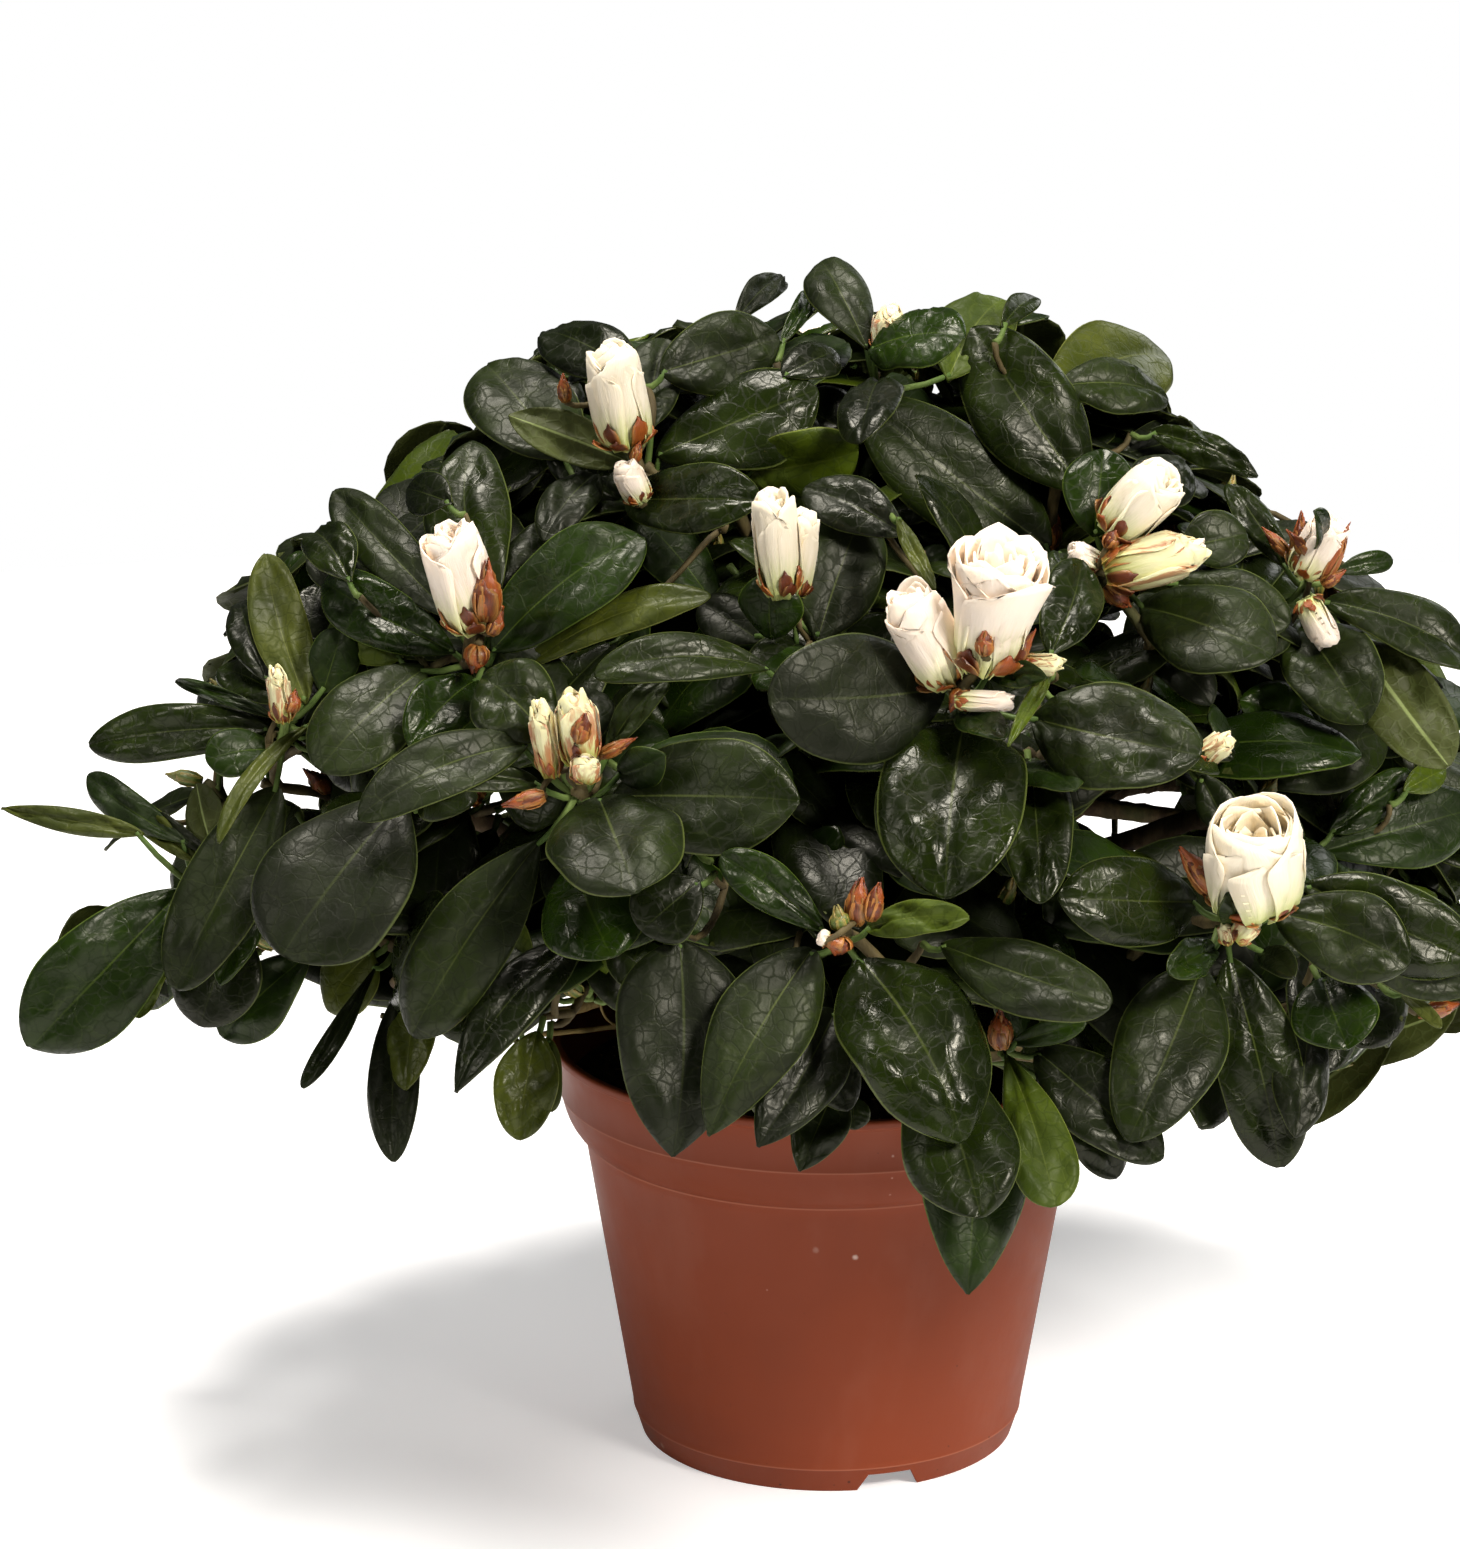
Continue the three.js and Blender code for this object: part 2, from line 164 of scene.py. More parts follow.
class Piece:
    """Closed parts made of rings of points, joined into one mesh with a bake map of even cells."""

    def __init__(self, name, materials, slot):
        self.name, self.materials, self.slot = name, materials, slot
        self.parts = []

    def add(self, rings, paint, place=None):
        """rings: (parts, rows, columns, 3). paint: a material index, or one for each part and column."""
        if not len(rings):
            return
        n, rows, columns, _ = rings.shape
        paint = np.asarray(paint)
        if paint.ndim < 2:
            paint = paint.reshape(-1, 1)
        paint = np.broadcast_to(paint, (n, columns))
        if place is None:
            along = np.broadcast_to(np.linspace(0, 1, rows)[None, :, None], (n, rows, columns))
            seeds = np.broadcast_to(np.linspace(0, 1, n)[:, None, None], (n, rows, columns))
            place = np.stack([np.zeros((n, rows, columns)), along, seeds], -1)
        self.parts.append((rings, paint, place))

    def build(self):
        cells = sum(len(rings) for rings, _, _ in self.parts)
        side = math.ceil(math.sqrt(cells))
        points, quads, maps, paints, places = [], [], [], [], []
        first_point = first_cell = 0
        for rings, paint, place in self.parts:
            n, rows, columns, _ = rings.shape
            quad, spot, column = ring_faces(rows, columns)
            start = first_point + np.arange(n)[:, None, None] * rows * columns
            quads.append((quad[None] + start).reshape(-1, 4))
            cell = first_cell + np.arange(n)
            corner = np.stack([cell % side, cell // side], -1)[:, None, None, :]
            inner = CELL_MARGIN + (1 - 2 * CELL_MARGIN) * spot[None]
            maps.append(((corner + inner) / side).reshape(-1, 2))
            paints.append(paint[:, column].reshape(-1))
            points.append(rings.reshape(-1, 3))
            places.append(place.reshape(-1, 3))
            first_point += n * rows * columns
            first_cell += n
        mesh = mesh_from(self.name, np.concatenate(points), np.concatenate(quads))
        mesh.polygons.foreach_set("material_index", np.concatenate(paints).astype(np.int32))
        mesh.uv_layers.new(name=ATLAS).data.foreach_set(
            "uv", np.concatenate(maps).astype(np.float32).ravel())
        mesh.attributes.new("place", "FLOAT_VECTOR", "POINT").data.foreach_set(
            "vector", np.concatenate(places).astype(np.float32).ravel())
        return put(mesh, self.materials)


def box_corners(left, right, low, high):
    """The four corners of boxes in the bake cell, from the lower left round."""
    corners = ((left, low), (right, low), (right, high), (left, high))
    return np.stack([np.stack(corner, -1) for corner in corners], 1)


def ring_faces(rows, columns):
    """The quads of one part, their corners in its bake cell, and the column each is painted by."""
    r, c = np.meshgrid(np.arange(rows - 1), np.arange(columns), indexing="ij")
    r, c = r.ravel(), c.ravel()
    after = (c + 1) % columns
    quads = np.stack([r * columns + c, r * columns + after,
                      (r + 1) * columns + after, (r + 1) * columns + c], -1)
    low, high = (CELL_CAP + (1 - 2 * CELL_CAP) * row / (rows - 1) for row in (r, r + 1))
    spots = box_corners(c / columns, (c + 1) / columns, low, high)
    j = np.arange(columns // 2 - 1)
    start = np.stack([columns - 1 - j, columns - 2 - j, j + 1, j], -1)
    end = (rows - 1) * columns + np.stack([j, j + 1, columns - 2 - j, columns - 1 - j], -1)
    left, right, zero, one = j / columns, (j + 1) / columns, np.zeros(len(j)), np.ones(len(j))
    start_spots = box_corners(left, right, zero, zero + CELL_CAP)
    end_spots = box_corners(left, right, one - CELL_CAP, one)
    return (np.concatenate([quads, start, end]), np.concatenate([spots, start_spots, end_spots]),
            np.concatenate([c, j, j]))


def link(thing):
    bpy.context.scene.collection.objects.link(thing)
    return thing


def mesh_from(name, points, quads):
    mesh = bpy.data.meshes.new(name)
    mesh.vertices.add(len(points))
    mesh.vertices.foreach_set("co", points.astype(np.float32).ravel())
    mesh.loops.add(quads.size)
    mesh.loops.foreach_set("vertex_index", quads.astype(np.int32).ravel())
    mesh.polygons.add(len(quads))
    mesh.polygons.foreach_set("loop_start", np.arange(len(quads), dtype=np.int32) * quads.shape[1])
    mesh.polygons.foreach_set("use_smooth", np.ones(len(quads), bool))
    mesh.update(calc_edges=True)
    return mesh


def put(mesh, materials):
    piece = link(bpy.data.objects.new(mesh.name, mesh))
    for material in materials:
        mesh.materials.append(material)
    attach(piece, "root")
    return piece


def tubes(paths, radii, columns=8):
    """Round limbs along paths (parts, rows, 3)."""
    tangent = unit(np.gradient(paths, axis=1))
    mean = unit(paths[:, -1] - paths[:, 0])
    spare = np.eye(3)[np.argmin(np.abs(mean), axis=1)]
    e1 = unit(np.cross(spare[:, None, :], tangent))
    e2 = np.cross(tangent, e1)
    angle = np.linspace(0, 2 * math.pi, columns, endpoint=False)
    spoke = (e1[:, :, None] * np.cos(angle)[:, None] + e2[:, :, None] * np.sin(angle)[:, None])
    radii = radii[..., None] if radii.ndim == 2 else radii
    return paths[:, :, None] + spoke * radii[..., None]


def turned(profile, columns):
    """A closed solid turned about +Z from (radius, height) points, from its underside to its top."""
    profile = np.asarray(profile, float)
    angle = np.linspace(0, 2 * math.pi, columns, endpoint=False)
    return np.stack([profile[:, :1] * np.cos(angle), profile[:, :1] * np.sin(angle),
                     np.repeat(profile[:, 1:], columns, 1)], -1)[None]


# ------------------------------------------------------------------ leaves

# Lengths, thickness and midrib in metres, and the grids (rows, columns) of a blade seen near and far.
LEAF = {"typical": 0.042, "longest": 0.050, "thick": 0.00042, "rib_width": 0.0009, "groove": 0.00042,
        "fine_grid": (29, 15), "plain_grid": (12, 7)}
VEIN_PAIRS = {LEAF["fine_grid"]: 6, LEAF["plain_grid"]: 3}
STALK_SHAPE = {"rows": 4, "columns": 6, "radii": (0.00085, 0.0006), "sag": 0.0012, "overlap": 0.0015}


def values_of(parts, key):
    """One value for each blade or petal, ready to spread over its grid of points."""
    return np.asarray(parts[key], float).reshape(-1, 1, 1)


def blade_rings(b, grid):
    """Leaf blades as thin closed shells. b holds one value or vector for each blade.

    v runs from the base to the tip, and u across the blade from -1 to 1.
    """
    get = lambda key: values_of(b, key)
    single = lambda key: get(key)[..., 0]
    rows, across = grid
    s = np.linspace(0, 1, rows)
    v = 0.35 * s + 0.65 * (0.5 - 0.5 * np.cos(np.pi * s))
    u = np.linspace(-1, 1, across)

    # The outline: v to the power wedge by 1 - v to the power blunt, with a slightly uneven margin.
    p, q = single("wedge"), single("blunt")
    peak_at = p / (p + q)
    peak = peak_at ** p * (1 - peak_at) ** q
    vv = np.clip(v, 0.003, 0.997)
    half = vv ** p * (1 - vv) ** q / peak * 0.5 * single("width")
    half = np.maximum(half, 0.00035) * (1 + 0.035 * np.sin(v * 9 + single("phase")))

    # The centre line: an arch that curls down at the tip, scaled back to the blade's length.
    slope = (0.5 - v) * single("arch") - single("curl") * (v ** 4 - 0.2)
    step = np.diff(v, prepend=0.0)
    along = np.cumsum(np.cos(slope) * step, 1)
    lift = np.cumsum(np.sin(slope) * step, 1)
    scale = single("length") / np.hypot(along[:, -1:], lift[:, -1:])
    along, lift = along * scale, lift * scale
    axis, normal = unit(b["axis"]), b["normal"]
    normal = unit(normal - axis * (normal * axis).sum(-1, keepdims=True))
    side = np.cross(axis, normal)
    bend = single("bend") * np.sin(v * math.pi * 0.9) * single("length")
    upright = np.cos(slope)[..., None] * normal[:, None] - np.sin(slope)[..., None] * axis[:, None]

    # The relief: fold along the midrib, rolled margin, waves and twist.
    a, vg, ug, phase = np.abs(u)[None, None], v[None, :, None], u[None, None], get("phase")
    half = half[..., None]
    x = ug * half
    dz = get("fold") * a * half - get("recurve") * a ** 4 * half
    dz = dz + get("wave") * get("width") * a ** 2 * np.sin(vg * 11 + phase + 2.1 * np.sign(ug))
    dz = dz + 0.5 * get("twist") * x * (vg - 0.3)

    # Blisters between the side veins, puckers over them, and the groove of the midrib.
    vein = VEIN_PAIRS[grid] * (vg * 1.12 - 0.26 * a) + 0.5 * (ug > 0) + phase
    field = np.sin(np.pi * np.clip(a * 0.97, 0, 1)) ** 0.6
    field = field * np.clip(vg * 7, 0, 1) * np.clip((1 - vg) * 6, 0, 1)
    blister = 0.65 + 0.35 * np.sin(phase * 3 + vg * 17 + ug * 5)
    dz = dz + get("bulge") * field * np.abs(np.sin(np.pi * vein)) * blister
    pucker = (np.sin(ug * 3.1 + phase * 7) * np.sin(vg * 9 + phase * 4)
              + 0.7 * np.sin(ug * 6.7 - phase * 3) * np.sin(vg * 16 + phase * 6 + ug * 2))
    dz = dz + get("pucker") * field * pucker
    rib = np.exp(-(x / LEAF["rib_width"]) ** 2) * (1 - 0.75 * vg)
    dz = dz - LEAF["groove"] * rib
    thick = LEAF["thick"] * (1 - 0.6 * a ** 3) + 2.0 * LEAF["groove"] * rib
    thick = thick + 0.28 * (get("bulge") + get("pucker")) * field

    spine = (b["base"][:, None] + along[..., None] * axis[:, None] + lift[..., None] * normal[:, None]
             + bend[..., None] * side[:, None])
    flat = spine[:, :, None] + x[..., None] * side[:, None, None]
    over = flat + dz[..., None] * upright[:, :, None]
    under = flat + (dz - thick)[..., None] * upright[:, :, None]
    rings = np.concatenate([over, under[:, :, ::-1]], 2)
    place = np.stack(np.broadcast_arrays(ug, vg, get("seed")), -1)
    return rings, np.concatenate([place, place[:, :, ::-1]], 2)


# The material of each tone's upper side, and those of every underside and stalk.
TOPS = {"deep": 0, "dark": 1, "green": 2, "fresh": 3, "olive": 4}
UNDER, STALK = 5, 6


class Leaves:
    """Blades waiting to be built, shoot by shoot."""

    def __init__(self):
        self.rows = []

    def add(self, rng, base, tip, normal, width, tone, stalk_from, hero, **changes):
        length = float(np.linalg.norm(tip - base))
        blade = {
            "base": base, "axis": (tip - base) / length, "normal": normal, "length": length,
            "width": width, "wedge": rng.uniform(0.62, 0.86), "blunt": rng.uniform(0.52, 0.7),
            "phase": rng.uniform(0, 6.28), "arch": rng.uniform(0.25, 0.75),
            "curl": rng.uniform(0.0, 0.35), "fold": rng.uniform(0.02, 0.2),
            "recurve": rng.uniform(0.1, 0.3), "wave": rng.uniform(0.008, 0.030),
            "twist": rng.uniform(-0.9, 0.9), "bend": rng.uniform(-0.05, 0.05),
            "bulge": rng.uniform(0.0004, 0.0011), "seed": rng.uniform(0, 1),
            "pucker": rng.uniform(0.0002, 0.0012),
            "tone": TOPS[tone], "stalk_from": stalk_from, "hero": hero,
        }
        blade.update(changes)
        self.rows.append(blade)

    def into(self, piece):
        for hero, grid in ((True, LEAF["fine_grid"]), (False, LEAF["plain_grid"])):
            chosen = [blade for blade in self.rows if blade["hero"] == hero]
            if chosen:
                b = {key: np.array([blade[key] for blade in chosen]) for key in chosen[0]}
                rings, place = blade_rings(b, grid)
                under = np.arange(2 * grid[1]) >= grid[1] - 1
                piece.add(rings, np.where(under[None], UNDER, b["tone"][:, None]), place)
                piece.add(stalks(b), STALK)


def stalks(b):
    """A thin stalk from each shoot to a little way into the blade."""
    steps = STALK_SHAPE["rows"]
    t = np.linspace(0, 1, steps)[None, :, None]
    start, end = b["stalk_from"][:, None], (b["base"] + b["axis"] * STALK_SHAPE["overlap"])[:, None]
    sag = -STALK_SHAPE["sag"] * np.sin(math.pi * t) * np.array([0, 0, 1.0])
    radii = np.repeat(np.linspace(*STALK_SHAPE["radii"], steps)[None], len(b["base"]), 0)
    return tubes(start * (1 - t) + end * t + sag, radii, STALK_SHAPE["columns"])


# ------------------------------------------------------------------ blossom

# The blossom's materials, in the order of blossom_looks.
PETAL, PETAL_YOUNG, SCALE, SCALE_DARK, BRACT_GREEN, PETAL_WARM = 0, 1, 2, 3, 4, 5
PETAL_THICK = 0.00035


def petal_rings(f, grid):
    """Petals or bud scales that stand round an axis. f holds one value or vector for each."""
    get = lambda key: values_of(f, key)
    rows, across = grid
    v = np.linspace(0, 1, rows)[None, :, None]
    u = np.linspace(-1, 1, across)[None, None]
    radius, length, phase = get("radius"), get("length"), get("phase")
    r = radius * (0.22 + v ** 0.55 * (1 - get("close") * v ** 2.2) * 0.95)
    outline = (v + 0.04) ** get("wedge") * np.clip(1.02 - v ** get("top"), get("flat"), 1) ** 0.5
    half = outline * get("half_width")
    bow = np.maximum(np.maximum(r, radius * get("cup")), 0.001)
    angle = np.clip(u * half / bow, -2.4, 2.4)
    crumple = get("ruffle") * length * v ** 2
    out = r - bow * (1 - np.cos(angle)) + crumple * np.sin(u * 3.4 + phase) * 0.8
    out = out + get("skew") * u * radius
    sideways = bow * np.sin(angle) + crumple * 0.3 * np.sin(v * 9 + phase)
    ragged = np.sin(u * 6.1 - phase * 2) + 0.5 * np.sin(u * 13.7 + phase * 3)
    height = length * (v - 0.15 * u ** 2 * v ** 4) + 0.55 * get("ruffle") * length * v ** 6 * ragged

    def world(out, sideways, height):
        local = np.stack(np.broadcast_arrays(out, sideways, height), -1)
        frame3 = np.stack([f["out"], np.cross(f["axis"], f["out"]), f["axis"]], 1)
        return f["base"][:, None, None] + np.einsum("nrci,nij->nrcj", local, frame3)

    outer = world(out, sideways, height)
    inner = world(out - PETAL_THICK * np.cos(angle * 0.8), sideways * 0.985, height)
    rings = np.concatenate([outer, inner[:, :, ::-1]], 2)[:, :, ::-1]
    place = np.stack(np.broadcast_arrays(u, v, get("seed")), -1)
    return rings, np.concatenate([place, place[:, :, ::-1]], 2)[:, :, ::-1]


# How each kind of bud is layered, from the outside in, by paint. A layer is (count, radius share,
# length share, how far it closes, half width as a share of the radius, ruffle).
BUDS = {
    "white": {PETAL: [(3, 1.0, 0.88, 0.44, 1.8, 0.010), (3, 0.94, 0.96, 0.46, 1.8, 0.012),
                      (3, 0.80, 1.0, 0.48, 1.8, 0.014), (3, 0.64, 0.99, 0.48, 1.6, 0.016),
                      (3, 0.45, 0.97, 0.42, 1.5, 0.016), (2, 0.25, 0.96, 0.3, 1.5, 0.016)]},
    "warm": {PETAL_WARM: [(3, 1.0, 0.88, 0.44, 1.8, 0.012), (3, 0.94, 0.96, 0.44, 1.8, 0.016),
                          (3, 0.80, 1.0, 0.44, 1.8, 0.020), (3, 0.64, 0.99, 0.44, 1.6, 0.024),
                          (3, 0.45, 0.97, 0.40, 1.5, 0.024), (2, 0.25, 0.96, 0.3, 1.5, 0.024)]},
    "open": {PETAL: [(3, 1.0, 0.80, 0.30, 1.8, 0.012), (4, 0.97, 0.91, 0.32, 1.8, 0.016),
                     (4, 0.86, 0.98, 0.34, 1.7, 0.018), (4, 0.72, 1.0, 0.34, 1.6, 0.020),
                     (4, 0.56, 0.99, 0.34, 1.5, 0.022), (4, 0.40, 0.97, 0.3, 1.4, 0.022),
                     (3, 0.22, 0.96, 0.2, 1.4, 0.02)]},
    "round": {PETAL_WARM: [(3, 1.10, 0.84, 0.52, 2.0, 0.012), (4, 1.08, 1.0, 0.55, 1.8, 0.016),
                           (4, 0.92, 0.94, 0.50, 1.7, 0.022), (4, 0.74, 0.88, 0.42, 1.6, 0.028),
                           (4, 0.54, 0.82, 0.34, 1.5, 0.032), (4, 0.34, 0.78, 0.24, 1.4, 0.036)]},
    "flare": {PETAL: [(3, 0.86, 0.76, 0.08, 1.9, 0.012), (4, 0.90, 0.90, 0.03, 1.8, 0.018),
                      (4, 0.84, 1.0, 0.03, 1.7, 0.020), (4, 0.70, 0.98, 0.08, 1.6, 0.022),
                      (4, 0.55, 0.97, 0.12, 1.5, 0.024), (4, 0.38, 0.95, 0.15, 1.4, 0.024),
                      (3, 0.20, 0.94, 0.15, 1.4, 0.02)]},
    "cream": {PETAL_YOUNG: [(3, 1.0, 0.95, 0.72, 1.9, 0.008), (3, 0.86, 1.0, 0.74, 1.8, 0.012)],
              PETAL: [(3, 0.6, 0.98, 0.74, 1.6, 0.015)]},
    "brown": {SCALE: [(4, 1.0, 0.70, 0.75, 1.4, 0.01), (4, 0.9, 0.88, 0.9, 1.3, 0.01),
                      (3, 0.62, 1.0, 0.95, 1.1, 0.01)]},
    "green": {BRACT_GREEN: [(4, 1.0, 0.8, 0.9, 1.3, 0.01), (3, 0.7, 1.0, 0.95, 1.2, 0.01)]},
}
# The tips that each paint's layers end in: how blunt, and how wide at the very end.
TIPS = {PETAL: (9.0, 0.30), PETAL_WARM: (7.0, 0.25), PETAL_YOUNG: (5.0, 0.06), SCALE: (1.9, 0.02),
        BRACT_GREEN: (2.4, 0.02)}
# How far a bud leans towards the camera from where it is seen, as a share of its length.
LEAN = {"round": 0.55, "flare": 0.24}
OTHER_LEAN = 0.12
# How many scales stand round a bud's foot, and their length as a share of the bud's. Buds that are
# all scales have none of their own there.
FOOT_SCALES = {"white": (5, 0.30), "warm": (5, 0.28), "open": (5, 0.25), "round": (5, 0.24),
               "flare": (5, 0.30), "cream": (4, 0.40)}
# The grid (rows, columns) of a petal, by how near it is seen.
PETAL_GRIDS = {"near": (11, 9), "plain": (8, 5), "small": (5, 5)}
BIG_BUD_PX = 45
LAYER_TURN = 2.4


class Blossom:
    """Petals and scales waiting to be built, bud by bud."""

    def __init__(self):
        self.rows = []

    def layer(self, rng, stand, shape, paint, turn, grid, wedge=0.32):
        """One ring of petals or scales. stand is where and which way the bud stands."""
        base, axis, e1, e2 = stand
        count, radius, length, close, half, ruffle = shape
        top, flat = TIPS[paint]
        for i in range(count):
            around = turn + (i + rng.uniform(-0.18, 0.18)) * 2 * math.pi / count
            self.rows.append({
                "base": base, "axis": axis, "out": e1 * math.cos(around) + e2 * math.sin(around),
                "radius": radius * rng.uniform(0.94, 1.06), "length": length * rng.uniform(0.92, 1.05),
                "close": close + rng.uniform(-0.06, 0.06), "half_width": half * radius,
                "ruffle": ruffle * rng.uniform(0.6, 1.4), "phase": rng.uniform(0, 6.28),
                "wedge": wedge, "top": top, "flat": flat, "cup": 0.9,
                "skew": rng.uniform(0.02, 0.05), "seed": rng.uniform(0, 1), "grid": grid,
                "paint": SCALE_DARK if paint == SCALE and i % 2 else paint})

    def bud(self, rng, base, axis, length, width, kind, grid="plain"):
        axis = unit(axis)
        if kind not in FOOT_SCALES:
            grid = "small"
        spare = np.eye(3)[int(np.argmin(np.abs(axis)))]
        e1 = unit(np.cross(spare, axis))
        stand = base, axis, e1, np.cross(axis, e1)
        turn = rng.uniform(0, 6.28)
        for paint, layers in BUDS[kind].items():
            for count, share, long, *form in layers:
                self.layer(rng, stand, (count, width / 2 * share, length * long, *form), paint, turn, grid)
                turn += LAYER_TURN
        count, long = FOOT_SCALES.get(kind, (0, 0))
        for shift, share in ((0, 1.0), (0.35, 0.6)):
            radius = width / 2 * (0.98 + 0.05 * shift)
            reach = length * long * share * rng.uniform(0.8, 1.2)
            shape = count, radius, reach, 0.34 * share, 0.45, 0.03
            self.layer(rng, stand, shape, SCALE, turn + shift, "plain", wedge=0.5)

    def into(self, petals, buds):
        """Petals with the scales at their foot go into one piece, bare buds into the other."""
        for name, grid in PETAL_GRIDS.items():
            chosen = [row for row in self.rows if row["grid"] == name]
            if chosen:
                f = {key: np.array([row[key] for row in chosen]) for key in chosen[0]}
                rings, place = petal_rings(f, grid)
                (buds if name == "small" else petals).add(rings, f["paint"], place)


# ------------------------------------------------------------------ the shoots that the photograph shows

